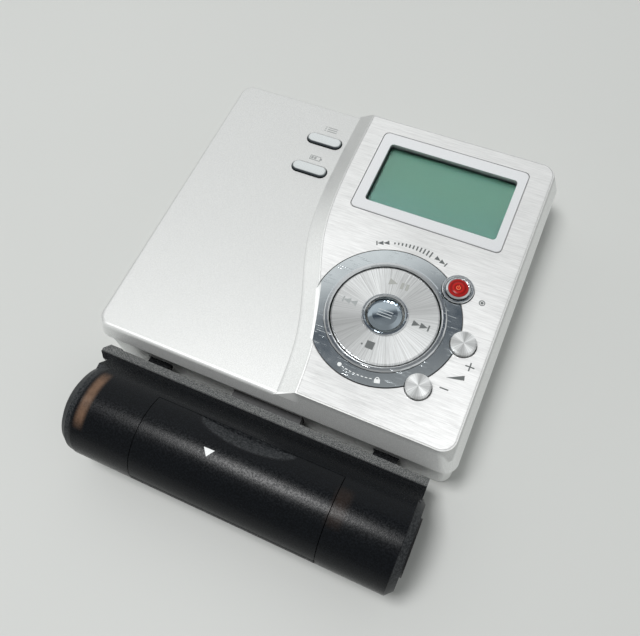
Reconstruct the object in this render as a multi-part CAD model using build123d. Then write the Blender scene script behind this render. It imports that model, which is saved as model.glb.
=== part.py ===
from build123d import *
import math
import os

# Portable disc player with a hinged lid and a clip-on battery case, in millimetres.
# X runs to the right across the front, Y to the back, Z up.
# The origin is the middle of the player's underside.

# ---------------------------------------------------------------- player body
BODY_W = 78.9            # across the player
BODY_D = 71.9            # front to back
PLATEAU_Z = 18.2         # top of the raised, brushed half
PANEL_Z = 14.9           # top of the lower, painted half
SEAM_Z = 10.8            # lower edge of the lid
SEAM_GAP = 0.25          # shadow line between lid and base
CORNER_R = 3.0           # plan radius of the lid's corners
RIGHT_DRAFT = 1.7        # how far each lid wall leans in, over its height
LEFT_DRAFT = 1.3
FRONT_DRAFT = 1.68
BACK_DRAFT = 2.29
PANEL_EDGE_R = 0.9       # rounding of the painted half's upper edge
RIGHT_X = BODY_W / 2
LEFT_X = -BODY_W / 2
BACK_Y = BODY_D / 2
FRONT_Y = -BODY_D / 2

# ---------------------------------------------------------------- lid
LID_WALL = 1.1
LID_SKIN = 0.8
PLATE_T = 0.4            # brushed face plate
PLATE_RIM = 0.35         # lid rim left around the face plate
PLATE_CORNER_R = 2.6
FIT = 0.15               # clearance round a fixed trim piece
KEY_FIT = 0.2            # clearance round a key that moves
CEILING_Z = PLATEAU_Z - PLATE_T - LID_SKIN
PANEL_CEILING_Z = PANEL_Z - LID_SKIN

# ---------------------------------------------------------------- base
BASE_SIDE_STEP = 0.45    # how far the base stands in from the lid
BASE_FRONT_STEP = 0.75
BASE_BACK_STEP = 1.55
BASE_WALL = 1.1
BASE_THIN_WALL = 0.7     # front and back, beside the cartridge
FLOOR_T = 1.2
BASE_EDGE_R = 0.8
BASE_CORNER_R = 2.4
BACK_RIM_Z = 6.1         # the back wall is low, so that the holder can swing over it
BASE_RIM_Z = SEAM_Z - SEAM_GAP
BASE_X = RIGHT_X - BASE_SIDE_STEP
BASE_FRONT_Y = FRONT_Y + BASE_FRONT_STEP
BASE_BACK_Y = BACK_Y - BASE_BACK_STEP
BASE_IN_X = BASE_X - BASE_WALL
BASE_IN_FRONT_Y = BASE_FRONT_Y + BASE_THIN_WALL
BASE_IN_BACK_Y = BASE_BACK_Y - BASE_THIN_WALL

# ---------------------------------------------------------------- disc cartridge and its holder
CARTRIDGE_H = 5.0
BAY_Z = 7.3              # underside of a loaded cartridge
BAY_CLEAR = 0.1
BAY_FRONT_GAP = 0.3      # cartridge to the base's front wall
BAY_BACK_IN = 2.15       # cartridge's back edge, in from the lid's back
HOLDER_T = 0.3
HOLDER_LIP = 1.6         # how far the holder's lips reach under the cartridge
HOLDER_SIDE_GAP = 1.5    # holder to the base's side walls
HOLDER_WINDOW_IN = 9.0   # holder's window, in from the cartridge's sides
HOLDER_WINDOW_FRONT = 18.2
HOLDER_WINDOW_BACK = 24.8
HOLDER_X = BASE_IN_X - HOLDER_SIDE_GAP
CARTRIDGE_X = HOLDER_X - HOLDER_T - BAY_CLEAR      # half a cartridge's width, 36
BAY_FRONT_Y = BASE_IN_FRONT_Y + BAY_FRONT_GAP
BAY_BACK_Y = BACK_Y - BAY_BACK_IN                  # 68 behind the front
BAY_TOP_Z = BAY_Z + CARTRIDGE_H
HOLDER_TOP_Z = BAY_TOP_Z + BAY_CLEAR + HOLDER_T

# ---------------------------------------------------------------- lid hinge
HINGE_IN = 2.55          # hinge axis, in from the lid's back
HINGE_Y = BACK_Y - HINGE_IN
HINGE_Z = 4.2
PIN_R = 0.8
PIN_CLEAR = 0.05         # running clearance of the ear on its pin
PRESS_CLEAR = 0.02       # a pin in the part that holds it
EAR_T = 2.55             # lid ear, along X
EAR_ROUNDER = 0.25       # its corner is rounder than the lid's by this
EAR_REACH = 4.9          # ear in front of the hinge axis
EAR_FRONT_Y = HINGE_Y - EAR_REACH
EAR_LOW_Z = 0.7
EAR_HEEL_R = HINGE_Z - EAR_LOW_Z
EAR_TOE = 1.5            # chamfer on the ear's lower front corner
EAR_GAP = 0.3
SKIRT_Z = 6.6            # lower edge of the lid's back wall
PIN_SKIN = 0.5           # lid wall left outside the pin
PIN_HOLD = 3.2           # length of pin held in the base
BOSS_R = 1.9
EAR_IN_X = RIGHT_X - EAR_T
NOTCH_X = EAR_IN_X - EAR_GAP
NOTCH_Y = EAR_FRONT_Y - EAR_GAP - 0.4

# ---------------------------------------------------------------- display
LCD_RIGHT_IN = 6.54      # frame's right edge, in from the body's right
LCD_BACK_IN = 6.0
LCD_W = 32.95
LCD_D = 21.33
LCD_SIDE = (2.34, 1.81)  # width of the frame on its left and right
LCD_END = (2.59, 2.77)   # and at its front and back
LCD_X0 = RIGHT_X - LCD_RIGHT_IN - LCD_W
LCD_Y0 = BACK_Y - LCD_BACK_IN - LCD_D
LCD_FRAME = (LCD_X0, LCD_X0 + LCD_W, LCD_Y0, LCD_Y0 + LCD_D)
LCD_WINDOW = (LCD_FRAME[0] + LCD_SIDE[0], LCD_FRAME[1] - LCD_SIDE[1],
              LCD_FRAME[2] + LCD_END[0], LCD_FRAME[3] - LCD_END[1])
LCD_FRAME_R = 1.2
LCD_WINDOW_R = 0.8
LCD_PROUD = 0.12
LCD_FLANGE_T = 0.6
LCD_DEPTH = 1.2          # how deep the window lies
LCD_LENS_T = 0.8
LCD_LEDGE = 0.6          # lens held under the frame's edge
LCD_SKIRT = 1.0          # frame wall outside the lens
LCD_LENS_Z = PLATEAU_Z - LCD_DEPTH - LCD_LENS_T

# ---------------------------------------------------------------- key board in the lid
BOARD_T = 0.6
BOARD_Z = 13.3
DOME_H = 0.3
DOME_R = 1.9
DOME_SIDES = 8
BOARD_TOP_Z = BOARD_Z + BOARD_T
KEY_TRAVEL = 0.4
KEY_GAP = 0.05
STEM_Z = BOARD_TOP_Z + DOME_H + KEY_GAP + KEY_TRAVEL
KEY_FLANGE = 0.7         # how far a key's collar is wider than its hole
KEY_FLANGE_T = 0.5
KEY_STEM_R = 1.0
KEY_BEVEL = 2.0          # width of a key's upper bevel for its height
KEY_COLLAR_GAP = 0.1     # collar to the underside of the skin

# ---------------------------------------------------------------- dial, its ring and the round keys
DIAL_IN = 22.84          # dial's centre, in from the body's right
DIAL_OFF_MIDDLE = 0.655  # and behind the middle between the front and the display
DIAL_X = RIGHT_X - DIAL_IN
DIAL_Y = (FRONT_Y + LCD_Y0) / 2 + DIAL_OFF_MIDDLE
RING_R = 14.96
RING_T = 0.6
RING_PROUD = 0.08
LIP_OUT_R = 12.0
LIP_IN_R = 10.95
LIP_PROUD = 0.55
LIP_SIDES = 40           # the narrow rings have many flats
BEZEL_SIDES = 20
HUB_SIDES = 28
SKIN_HOLE_SIDES = 12
LIP_HOLE_R = (LIP_OUT_R + FIT / 2) / math.cos(math.pi / LIP_SIDES)
DIAL_R = 10.66
DIAL_T = 2.1
DIAL_PROUD = 0.45
DIAL_BEVEL = 0.3
HUB_OUT_R = 4.62
HUB_IN_R = 3.9
HUB_PROUD = 0.35
CENTRE_R = 3.4
CENTRE_DOME = 0.45
SPIDER_R = 6.5
SPIDER_T = 0.7
SPIDER_GAP = 0.3
PIVOT_AT = 5.2           # distance of the pivots from the dial's centre
PIVOT_R = 0.6
SPIDER_BORE_R = 3.3
SPIDER_LEG = 1.5         # width of its four legs
SPIDER_SIDES = 16
DIAL_PLUNGER_AT = 8.2
DIAL_PLUNGER_R = 0.9

REC_AT = (15.5, 43.5)    # distance from the dial's centre, and angle
REC_R = 2.4
REC_BEZEL_R = 3.15
REC_BEZEL_BORE = 2.6
REC_PROUD = 0.9
VOLUME_AT = 16.0
VOLUME_UP_ANGLE = -1.0
VOLUME_DOWN_ANGLE = -46.0
VOLUME_R = 2.45
VOLUME_PROUD = 1.2

# ---------------------------------------------------------------- shoulder between the two halves
SHOULDER_BACK_OFF = 20.91                          # its upper line, left of the dial's centre, at the back
SHOULDER_FRONT_OFF = 8.81                          # and at the front
SHOULDER_BACK_RUN = 4.15                           # from the upper line to the foot
SHOULDER_FRONT_RUN = 4.6
SHOULDER_CROSS = 2.41                              # where the curve crosses over, behind the dial's centre
SHOULDER_TOP = (DIAL_X - SHOULDER_BACK_OFF, DIAL_X - SHOULDER_FRONT_OFF)
SHOULDER_FOOT = (SHOULDER_TOP[0] - SHOULDER_BACK_RUN, SHOULDER_TOP[1] - SHOULDER_FRONT_RUN)
SHOULDER_MID_Y = DIAL_Y + SHOULDER_CROSS
SHOULDER_REACH = 14.5    # how slowly it crosses over
SHOULDER_POINTS = 9
HOLLOW_POINTS = 8        # corners of the hollow's wall, which follows it in straight runs

# ---------------------------------------------------------------- pill keys on the painted half
PILL_IN = 4.95           # keys' centre, left of the shoulder's foot
PILL_BACK_IN = 10.85
PILL_SPACING = 8.6
PILL_X = SHOULDER_FOOT[0] - PILL_IN
PILL_REAR_Y = BACK_Y - PILL_BACK_IN
PILL_FRONT_Y = PILL_REAR_Y - PILL_SPACING
PILL_L = 8.3
PILL_W = 2.9
PILL_PROUD = 0.55
PILL_TRAVEL = 0.3
PILL_BOARD_T = 0.35
PILL_DOME_H = 0.15
PILL_BOARD_MARGIN = 3.0

# ---------------------------------------------------------------- disc drive
SPINDLE_X = 0.0
SPINDLE_Y = -0.2
CHASSIS_T = 0.5
CHASSIS_Z = 2.8
CHASSIS_X0 = -11.6
CHASSIS_HALF_D = 19.0
DAMPER_R = 1.8
DAMPER_T = 0.8
MOTOR_R = 7.0
MOTOR_T = 2.2
MOTOR_SIDES = 24
TURNTABLE_R = 6.5
TURNTABLE_T = 0.7
TURNTABLE_HUB_R = 3.0
TURNTABLE_HUB_BEVEL = 0.3
TURNTABLE_TOP_Z = BAY_Z - 0.15
TURNTABLE_GAP = 0.25
SPINDLE_R = 0.75
ROD_R = 0.75
ROD_SIDES = 12
ROD_CLEAR = 0.05
ROD_SPACING = 2 * (CHASSIS_HALF_D - 8.0)
ROD_IN = 1.5             # outer end of the rods, in from the base's side wall
ROD_Z = 4.9
ROD_BUSH_T = 0.55        # wall of the sled's bushes
ROD_BRACKET_T = 1.0
ROD_END_GAP = 0.6        # sled to bracket at either end of its travel
SLED_L = 11.0            # along the rods
SLED_LOW_Z = 3.8
SLED_TOP_Z = 6.2
SLED_X0 = 10.2           # inner end of the sled at rest
ROD_X0 = SLED_X0 - ROD_END_GAP
ROD_X1 = BASE_IN_X - ROD_IN
LENS_R = 2.0
LENS_SIDES = 16
LENS_PROUD = 0.6
SCREW_R = 0.9
SCREW_Y = 4.4 - CHASSIS_HALF_D
SCREW_X1 = ROD_X1 - 0.4
SLED_MOTOR_R = 2.2
SLED_MOTOR_L = 9.0
SLED_MOTOR_X1 = 7.6

CHASSIS = (CHASSIS_X0, ROD_X1 + ROD_BRACKET_T, -CHASSIS_HALF_D, CHASSIS_HALF_D)

# ---------------------------------------------------------------- boards, battery and jacks in the base
MAIN_BOARD_Z = 1.9
MAIN_BOARD_T = 0.8
BOARD_WINDOW_GAP = 0.6
BATTERY_SIDE_GAP = 2.5   # battery to the base's left wall
BATTERY_FRONT_GAP = 5.1
BATTERY_CHASSIS_GAP = 4.0
BATTERY_JACK_GAP = 5.0
BATTERY_T = 4.5
BATTERY_Z = 0.85
BATTERY_EDGE_R = 0.8
COVER_T = 0.7
COVER_LIFT = 0.1         # the cover stands clear of the table
COVER_CLEAR = 0.1
COVER_MARGIN = 1.6       # cover beyond the battery hole
JACK_Z = 3.8
JACK_BORE_R = 1.8
JACK_COLLAR_R = 3.0
JACK_SIDES = 16
JACK_L = 12.0
JACK_W = 6.2
JACK_H = 5.0
JACK_SPACING = 8.4
JACK_BACK_GAP = 1.2      # rear jack to the wall in front of the hinge
LINE_Y = NOTCH_Y - BASE_WALL - JACK_BACK_GAP - JACK_W / 2
HEADPHONE_Y = LINE_Y - JACK_SPACING
POWER_IN = 15.9          # power jack, in from the base's side wall
POWER_X = BASE_IN_X - POWER_IN
POWER_BORE_R = 2.1
POWER_PIN_R = 0.5
POWER_L = 9.0
POWER_W = 6.4
SOCKET_W = 16.0          # opening for the battery case's plug
SOCKET_Z0 = 3.0
SOCKET_Z1 = 6.8
SOCKET_DEPTH = 4.2
SOCKET_WALL = 0.8
TONGUE_X = 26.0
TONGUE_W = 5.0
TONGUE_Z0 = 3.6
TONGUE_Z1 = 5.4
TONGUE_REACH = 1.2       # how far a tongue passes the base's front face
SCREW_PLACES = ((BASE_IN_X - 3.5, BASE_IN_FRONT_Y + 3.1), (3.5 - BASE_IN_X, BASE_IN_FRONT_Y + 1.8),
                (BASE_IN_X - 7.9, BASE_IN_BACK_Y - 4.1), (8.3 - BASE_IN_X, BASE_IN_BACK_Y - 4.1))
SCREW_HEAD_R = 1.4
SCREW_HEAD_T = 0.7
SCREW_SHANK_R = 0.75
SCREW_L = 4.2
POST_R = 1.6
BATTERY = (BATTERY_SIDE_GAP - BASE_IN_X, CHASSIS_X0 - BATTERY_CHASSIS_GAP,
           BASE_IN_FRONT_Y + BATTERY_FRONT_GAP, HEADPHONE_Y - BATTERY_JACK_GAP)
MAIN_BOARD = (BATTERY[1] + 1.0, BASE_IN_X - 1.3, BASE_IN_FRONT_Y + 1.1, BASE_IN_BACK_Y - 0.9)

# ---------------------------------------------------------------- lid latch
SLIDER_Y = -22.0
SLIDER_L = 9.0
SLIDER_TRAVEL = 3.0
SLIDER_T = 0.6
SLIDER_Z0 = 6.6
SLIDER_Z1 = 9.9
THUMB_L = 6.0
THUMB_Z0 = 7.2
THUMB_Z1 = 9.0
CATCH_T = 0.5
CATCH_W = 2.4
CATCH_LOW_Z = 8.4
HOOK_GAP = 0.5           # slide's hook to the lid's catch at rest
SLIDER_X0 = -BASE_IN_X + 0.05

# ---------------------------------------------------------------- battery case
CASE_R = 9.4
CASE_Z = CASE_R
CASE_LEFT_X = -34.2
CASE_RIGHT_X = 36.4
CASE_LEFT_R = 4.2
CASE_RIGHT_R = 1.4
CASE_LEFT_SIDES = 4      # bevels that make up each rounded end
CASE_RIGHT_SIDES = 1
BORE_SIDES = 24
CRADLE_SIDES = 16
CASE_SEAM_Z = 10.6
CASE_WALL = 1.2
FLANGE_BACK_Y = BASE_FRONT_Y - 2.4
FLANGE_FRONT_Y = FLANGE_BACK_Y - 1.8
CASE_Y = FLANGE_BACK_Y - 12.7
FLANGE_X0 = -32.8
FLANGE_X1 = 35.5
FLANGE_FOOT_R = 1.2
CELL_L = 50.5
CELL_R = 7.25
CELL_CLEAR = 0.35
CELL_X0 = -28.4
CELL_X1 = CELL_X0 + CELL_L + 0.3
CONTACT_T = 0.3
PARTITION_T = 1.0
RIB_T = 1.2
RIB_STEP = 18.0
DOOR_X0 = -17.0
DOOR_X1 = 21.8
DOOR_ANGLE = 53.0        # free edge of the door, about the cell's axis
DOOR_GAP = 0.15
DOOR_AXIS_IN = 0.85      # hinge axis inside the outer skin
DOOR_BEAD_R = 0.8
DOOR_PIN_R = 0.4
DOOR_AXIS_Z = 10.9
DOOR_PIN_HOLD = 1.6
SCOOP_X = 2.4
SCOOP_HALF_W = 10.7
SCOOP_DEPTH = 0.7
STRAP_X = -28.7
STRAP_W = 1.8
STRAP_ANGLES = (50.0, 130.0)
END_DISC_R = 5.5
END_DISC_T = 0.4
TAB_L = 3.6
TAB_W = 3.3
TAB_H = 3.2
PLUG_CLEAR = 0.2
DOOR_AXIS_Y = CASE_Y - CASE_R + DOOR_AXIS_IN


# ================================================================ small helpers
def block(x0, x1, y0, y1, z0, z1):
    return Pos((x0 + x1) / 2, (y0 + y1) / 2, (z0 + z1) / 2) * Box(x1 - x0, y1 - y0, z1 - z0)


def drum(x, y, radius, z0, z1):
    return Pos(x, y, (z0 + z1) / 2) * Cylinder(radius, z1 - z0)


def prism(x, y, radius, z0, z1, sides=6):
    """An upright bar with flat sides, for small posts, pegs and fasteners."""
    return extrude(Pos(x, y, z0) * RegularPolygon(radius, sides), z1 - z0, dir=(0, 0, 1))


def over_flats(radius, sides):
    """Corner radius of a polygon whose flats lie at this radius."""
    return radius / math.cos(math.pi / sides)


def prism_x(y, z, radius, x0, x1, sides=6):
    face = Plane.YZ * Pos(y, z) * RegularPolygon(radius, sides)
    return extrude(Pos(x0, 0, 0) * face, x1 - x0, dir=(1, 0, 0))


def prism_y(x, z, radius, y0, y1, sides=6):
    face = Plane.XZ * Pos(x, z) * RegularPolygon(radius, sides)
    return extrude(Pos(0, y0, 0) * face, y1 - y0, dir=(0, 1, 0))


def drum_x(y, z, radius, x0, x1):
    return Pos((x0 + x1) / 2, y, z) * Rot(0, 90, 0) * Cylinder(radius, x1 - x0)


def rounded_face(x0, x1, y0, y1, radius, z):
    return Pos((x0 + x1) / 2, (y0 + y1) / 2, z) * RectangleRounded(x1 - x0, y1 - y0, radius)


def rounded_slab(x0, x1, y0, y1, radius, z0, z1):
    return extrude(rounded_face(x0, x1, y0, y1, radius, z0), z1 - z0, dir=(0, 0, 1))


def pill_slab(x, y, length, width, z0, z1):
    return extrude(Pos(x, y, z0) * SlotOverall(length, width), z1 - z0, dir=(0, 0, 1))


def polar(distance, angle):
    turn = math.radians(angle)
    return DIAL_X + distance * math.cos(turn), DIAL_Y + distance * math.sin(turn)


def grow(box, margin):
    return box[0] - margin, box[1] + margin, box[2] - margin, box[3] + margin


def both_sides(shape):
    return shape + mirror(shape, about=Plane.YZ)


def save(name, *shapes):
    solids = [solid for shape in shapes for solid in shape.solids()]
    kept = solids[0] if len(solids) == 1 else Compound(children=solids)
    export_step(kept, "parts/" + name + ".step")


# ================================================================ lid
def shoulder_x(line, y):
    back, front = line
    swing = math.tanh((SHOULDER_MID_Y - y) / SHOULDER_REACH)
    return (back + front) / 2 + (front - back) / 2 * swing


def left_of_shoulder(line, shift, z):
    """A face that covers everything to the left of one of the shoulder's two lines."""
    far = BODY_D
    step = 2 * BACK_Y * 1.2 / (SHOULDER_POINTS - 1)
    heights = [BACK_Y * 1.2 - step * index for index in range(SHOULDER_POINTS)]
    points = [(shoulder_x(line, y) + shift, y, z) for y in heights]
    curve = Spline(*points)
    corner_back = (-far, heights[0], z)
    corner_front = (-far, heights[-1], z)
    far_side = Polyline(points[-1], corner_front, corner_back, points[0])
    return make_face([curve, *far_side.edges()])


def painted_side():
    """The space above the painted half: its floor is the panel, its right side is the shoulder."""
    low = left_of_shoulder(SHOULDER_FOOT, 0, PANEL_Z)
    high = left_of_shoulder(SHOULDER_TOP, -PLATE_RIM, PLATEAU_Z)
    return loft([low, high], ruled=True) + extrude(high, PLATE_T * 3, dir=(0, 0, 1))


def painted_hollow():
    """Where the lid's hollow stays low: left of an upright wall that follows the shoulder in straight runs."""
    ys = [BACK_Y - BODY_D * index / (HOLLOW_POINTS - 1) for index in range(HOLLOW_POINTS)]
    points = [(shoulder_x(SHOULDER_TOP, y) + LID_WALL - PLATE_RIM, y) for y in ys]
    outline = Polyline(*points, (-BODY_W, ys[-1]), (-BODY_W, ys[0]), close=True)
    return extrude(Pos(0, 0, PANEL_CEILING_Z) * make_face(outline), PLATEAU_Z, dir=(0, 0, 1))


def lid_frustum(inset, low_z, high_z):
    """The lid's outer form, or its hollow when inset, between two heights: a block with four leaning walls."""
    rise = PLATEAU_Z - SEAM_Z
    form = block(-BODY_W, BODY_W, -BODY_D, BODY_D, low_z, high_z)
    walls = [
        ((RIGHT_X - inset, 0), (rise, 0, RIGHT_DRAFT)),
        ((LEFT_X + inset, 0), (-rise, 0, LEFT_DRAFT)),
        ((0, BACK_Y - inset), (0, rise, BACK_DRAFT)),
        ((0, FRONT_Y + inset), (0, -rise, FRONT_DRAFT)),
    ]
    for foot, outward in walls:
        form = split(form, bisect_by=Plane(origin=(*foot, SEAM_Z), z_dir=outward), keep=Keep.BOTTOM)
    return form


def corner_edges(form):
    """The four edges where the leaning walls meet."""
    return [edge for edge in form.edges() if edge.bounding_box().size.Z > 1.0]


def lid_hollow():
    hollow = lid_frustum(LID_WALL, SEAM_Z - 1, CEILING_Z)
    hollow = chamfer(corner_edges(hollow), CORNER_R - LID_WALL)
    return hollow - painted_hollow()


def ear_profile():
    """Side view of a lid ear, as (y, z) points with the heel's arc."""
    heel_z = HINGE_Z - math.sqrt(EAR_HEEL_R ** 2 - (BACK_Y - HINGE_Y) ** 2)
    middle = math.radians(-90 + 0.5 * math.degrees(math.asin((BACK_Y - HINGE_Y) / EAR_HEEL_R)))
    on_arc = (HINGE_Y + EAR_HEEL_R * math.cos(middle), HINGE_Z + EAR_HEEL_R * math.sin(middle))
    top = (BACK_Y, SEAM_Z)
    outline = [
        Line((EAR_FRONT_Y, SEAM_Z), (EAR_FRONT_Y, EAR_LOW_Z + EAR_TOE)),
        Line((EAR_FRONT_Y, EAR_LOW_Z + EAR_TOE), (EAR_FRONT_Y + EAR_TOE, EAR_LOW_Z)),
        Line((EAR_FRONT_Y + EAR_TOE, EAR_LOW_Z), (HINGE_Y, EAR_LOW_Z)),
        ThreePointArc((HINGE_Y, EAR_LOW_Z), on_arc, (BACK_Y, heel_z)),
        Line((BACK_Y, heel_z), top),
        Line(top, (EAR_FRONT_Y, SEAM_Z)),
    ]
    return Plane.YZ * make_face(outline)


def lid_ears():
    """Hinge ears and the back skirt, kept a touch inside the lid's lower outline."""
    ears = both_sides(extrude(Pos(EAR_IN_X, 0, 0) * ear_profile(), EAR_T, dir=(1, 0, 0)))
    skirt = block(LEFT_X, RIGHT_X, BACK_Y - LID_WALL, BACK_Y, SKIRT_Z, SEAM_Z)
    bores = both_sides(drum_x(HINGE_Y, HINGE_Z, PIN_R + PIN_CLEAR, EAR_IN_X - 1, RIGHT_X - PIN_SKIN))
    outline = rounded_slab(LEFT_X, RIGHT_X, FRONT_Y, BACK_Y, CORNER_R + EAR_ROUNDER, 0, SEAM_Z)
    return (ears + skirt) & outline, bores


def lid_openings():
    """Everything that shows on the lid's face: display frame, ring and keys."""
    low, high = PANEL_CEILING_Z - 1, PLATEAU_Z + 1
    frame_x0, frame_x1, frame_y0, frame_y1 = grow(LCD_FRAME, FIT)
    cuts = rounded_slab(frame_x0, frame_x1, frame_y0, frame_y1, LCD_FRAME_R, low, high)
    cuts += drum(DIAL_X, DIAL_Y, RING_R + FIT, low, high)
    for radius, place in round_keys():
        cuts += drum(*place, radius, low, high)
    return cuts


def skin_openings():
    """The same in the skin under the face plate, where corners may be square and holes have flats."""
    low, high = PANEL_CEILING_Z - 1, PLATEAU_Z + 1
    cuts = block(*grow(LCD_FRAME, FIT), PLATEAU_Z + LCD_PROUD - LCD_FLANGE_T, high)
    cuts += block(*grow(LCD_WINDOW, LCD_LEDGE + LCD_SKIRT + FIT), low, high)
    cuts += prism(DIAL_X, DIAL_Y, LIP_HOLE_R, low, high, LIP_SIDES)
    ring_seat_r = over_flats(RING_R + FIT, HUB_SIDES)
    cuts += prism(DIAL_X, DIAL_Y, ring_seat_r, PLATEAU_Z + RING_PROUD - RING_T, high, HUB_SIDES)
    for radius, place in round_keys():
        cuts += prism(*place, over_flats(radius, SKIN_HOLE_SIDES), low, high, SKIN_HOLE_SIDES)
    for y in (PILL_REAR_Y, PILL_FRONT_Y):
        cuts += pill_slab(PILL_X, y, PILL_L + 2 * KEY_FIT, PILL_W + 2 * KEY_FIT, low, high)
    return cuts


def round_keys():
    return [
        (VOLUME_R + KEY_FIT, polar(VOLUME_AT, VOLUME_UP_ANGLE)),
        (VOLUME_R + KEY_FIT, polar(VOLUME_AT, VOLUME_DOWN_ANGLE)),
        (REC_BEZEL_R + FIT, polar(*REC_AT)),
    ]


def plate_outline(inset, z0, z1):
    """The raised half's flat top, bounded on the left by the shoulder's upper line."""
    x1 = RIGHT_X - RIGHT_DRAFT - PLATE_RIM - inset
    y0 = FRONT_Y + FRONT_DRAFT + PLATE_RIM + inset
    y1 = BACK_Y - BACK_DRAFT - PLATE_RIM - inset
    slab = rounded_slab(LEFT_X, x1, y0, y1, PLATE_CORNER_R, z0, z1)
    left = left_of_shoulder(SHOULDER_TOP, inset, z0 - 1)
    return slab - extrude(left, z1 - z0 + 2, dir=(0, 0, 1))


def lid_shell():
    outer = lid_frustum(0, SEAM_Z - CORNER_R, PLATEAU_Z + CORNER_R)
    outer = fillet(corner_edges(outer), CORNER_R) & block(-BODY_W, BODY_W, -BODY_D, BODY_D, SEAM_Z, PLATEAU_Z)
    outer = outer - painted_side()
    outer = fillet([edge for edge in outer.edges() if is_panel_rim(edge)], PANEL_EDGE_R)
    ears, bores = lid_ears()
    seat = plate_outline(-FIT / 3, PLATEAU_Z - PLATE_T, PLATEAU_Z + 1)
    shell = outer - lid_hollow() - seat - skin_openings()
    shell = shell + ears - bores
    return shell + lid_posts() + lid_catch()


def is_panel_rim(edge):
    """True for the painted half's upper edges, along its left, front and back walls."""
    box = edge.bounding_box()
    flat = abs(box.max.Z - PANEL_Z) < 0.01 and abs(box.min.Z - PANEL_Z) < 0.01
    inside = box.min.X > LEFT_X + 6 and box.min.Y < FRONT_Y + 3 and box.max.Y > BACK_Y - 4
    return flat and not inside


def lid_posts():
    """Posts that carry the disc holder and the key board from the lid's skin."""
    posts = None
    side_x = HOLDER_X - 3.0
    front_y, back_y = BAY_FRONT_Y + 4.2, BAY_BACK_Y - 3.8
    inner_x = PILL_X - 6.6
    for x, y in ((-side_x, front_y), (-side_x, back_y), (inner_x, front_y), (inner_x, back_y + 1.0)):
        post = prism(x, y, 1.2, HOLDER_TOP_Z, PANEL_CEILING_Z + LID_SKIN / 2)
        posts = post if posts is None else posts + post
    for y in (BAY_FRONT_Y + 1.2, BAY_BACK_Y - 0.6):
        posts += prism(HOLDER_X - 2.0, y, 0.9, HOLDER_TOP_Z, CEILING_Z + LID_SKIN / 2)
    for x, y in board_posts():
        posts += prism(x, y, 1.3, BOARD_TOP_Z, CEILING_Z + LID_SKIN / 2)
    return posts


def board_posts():
    x1 = RIGHT_X - RIGHT_DRAFT - LID_WALL - 2.6
    middle_y = LCD_Y0 - 4.02
    front_y = FRONT_Y + 4.95
    return [(x1, middle_y), (x1, BACK_Y - 5.35), (LCD_X0 + 4.64, middle_y), (x1, front_y),
            (DIAL_X - 7.2, front_y + 0.2)]


def lid_catch():
    """Tongue on the lid's left wall that the latch slider holds."""
    x0 = SLIDER_X0 + SLIDER_T + FIT
    y0 = SLIDER_Y - CATCH_W / 2
    return block(x0 - 0.3, x0 + CATCH_T, y0, y0 + CATCH_W, SEAM_Z + 0.2, PANEL_CEILING_Z + 0.3) + block(
        x0, x0 + CATCH_T, y0, y0 + CATCH_W, CATCH_LOW_Z, SEAM_Z + 0.4)


def face_plate():
    plate = plate_outline(0, PLATEAU_Z - PLATE_T, PLATEAU_Z)
    return plate - lid_openings()


def lcd_frame():
    top = PLATEAU_Z + LCD_PROUD
    x0, x1, y0, y1 = LCD_FRAME
    frame = rounded_slab(x0, x1, y0, y1, LCD_FRAME_R, top - LCD_FLANGE_T, top)
    frame = chamfer(frame.edges().group_by(Axis.Z)[-1], LCD_PROUD)
    skirt = grow(LCD_WINDOW, LCD_LEDGE + LCD_SKIRT)
    lens = grow(LCD_WINDOW, LCD_LEDGE)
    frame += block(*skirt, LCD_LENS_Z, top - LCD_FLANGE_T / 2)
    frame -= rounded_slab(*LCD_WINDOW, LCD_WINDOW_R, LCD_LENS_Z - 1, top + 1)
    return frame - block(*lens, LCD_LENS_Z - 1, LCD_LENS_Z + LCD_LENS_T)


def lcd_window():
    lens = grow(LCD_WINDOW, LCD_LEDGE - FIT / 3)
    return block(*lens, LCD_LENS_Z, LCD_LENS_Z + LCD_LENS_T)


def lcd_panel():
    lens = grow(LCD_WINDOW, LCD_LEDGE)
    return block(*lens, BOARD_TOP_Z, LCD_LENS_Z - 0.05)


def key_ring_plate():
    """Mirror-bright ring round the dial, cut off on its left by the shoulder's upper line."""
    top = PLATEAU_Z + RING_PROUD
    low = top - RING_T
    outline = Pos(DIAL_X, DIAL_Y, low) * (Circle(RING_R) - RegularPolygon(LIP_HOLE_R, LIP_SIDES))
    crest = [(shoulder_x(SHOULDER_TOP, DIAL_Y + away), DIAL_Y + away, low) for away in (RING_R, 0, -RING_R)]
    far_side = Polyline(crest[2], (LEFT_X, DIAL_Y - RING_R, low), (LEFT_X, DIAL_Y + RING_R, low), crest[0])
    outline -= make_face([ThreePointArc(*crest), *far_side.edges()])
    for radius, (x, y) in round_keys():
        outline -= Pos(x, y, low) * Circle(radius)
    return extrude(outline, RING_T, dir=(0, 0, 1))


def crowned_ring(x, y, inner, outer, z0, z1, crown, sides):
    """A ring whose upper face is bevelled to both sides."""
    ring = prism(x, y, over_flats(outer, sides), z0, z1, sides)
    ring -= prism(x, y, over_flats(inner, sides), z0 - 1, z1 + 1, sides)
    return chamfer(ring.edges().group_by(Axis.Z)[-1], crown)


def dial_lip():
    top = PLATEAU_Z + LIP_PROUD
    return crowned_ring(DIAL_X, DIAL_Y, LIP_IN_R, LIP_OUT_R, CEILING_Z - 0.4, top, LIP_PROUD / 2, LIP_SIDES)


def rec_bezel():
    x, y = polar(*REC_AT)
    top = PLATEAU_Z + LIP_PROUD
    return crowned_ring(x, y, REC_BEZEL_BORE, REC_BEZEL_R, CEILING_Z, top, LIP_PROUD / 4, BEZEL_SIDES)


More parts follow.
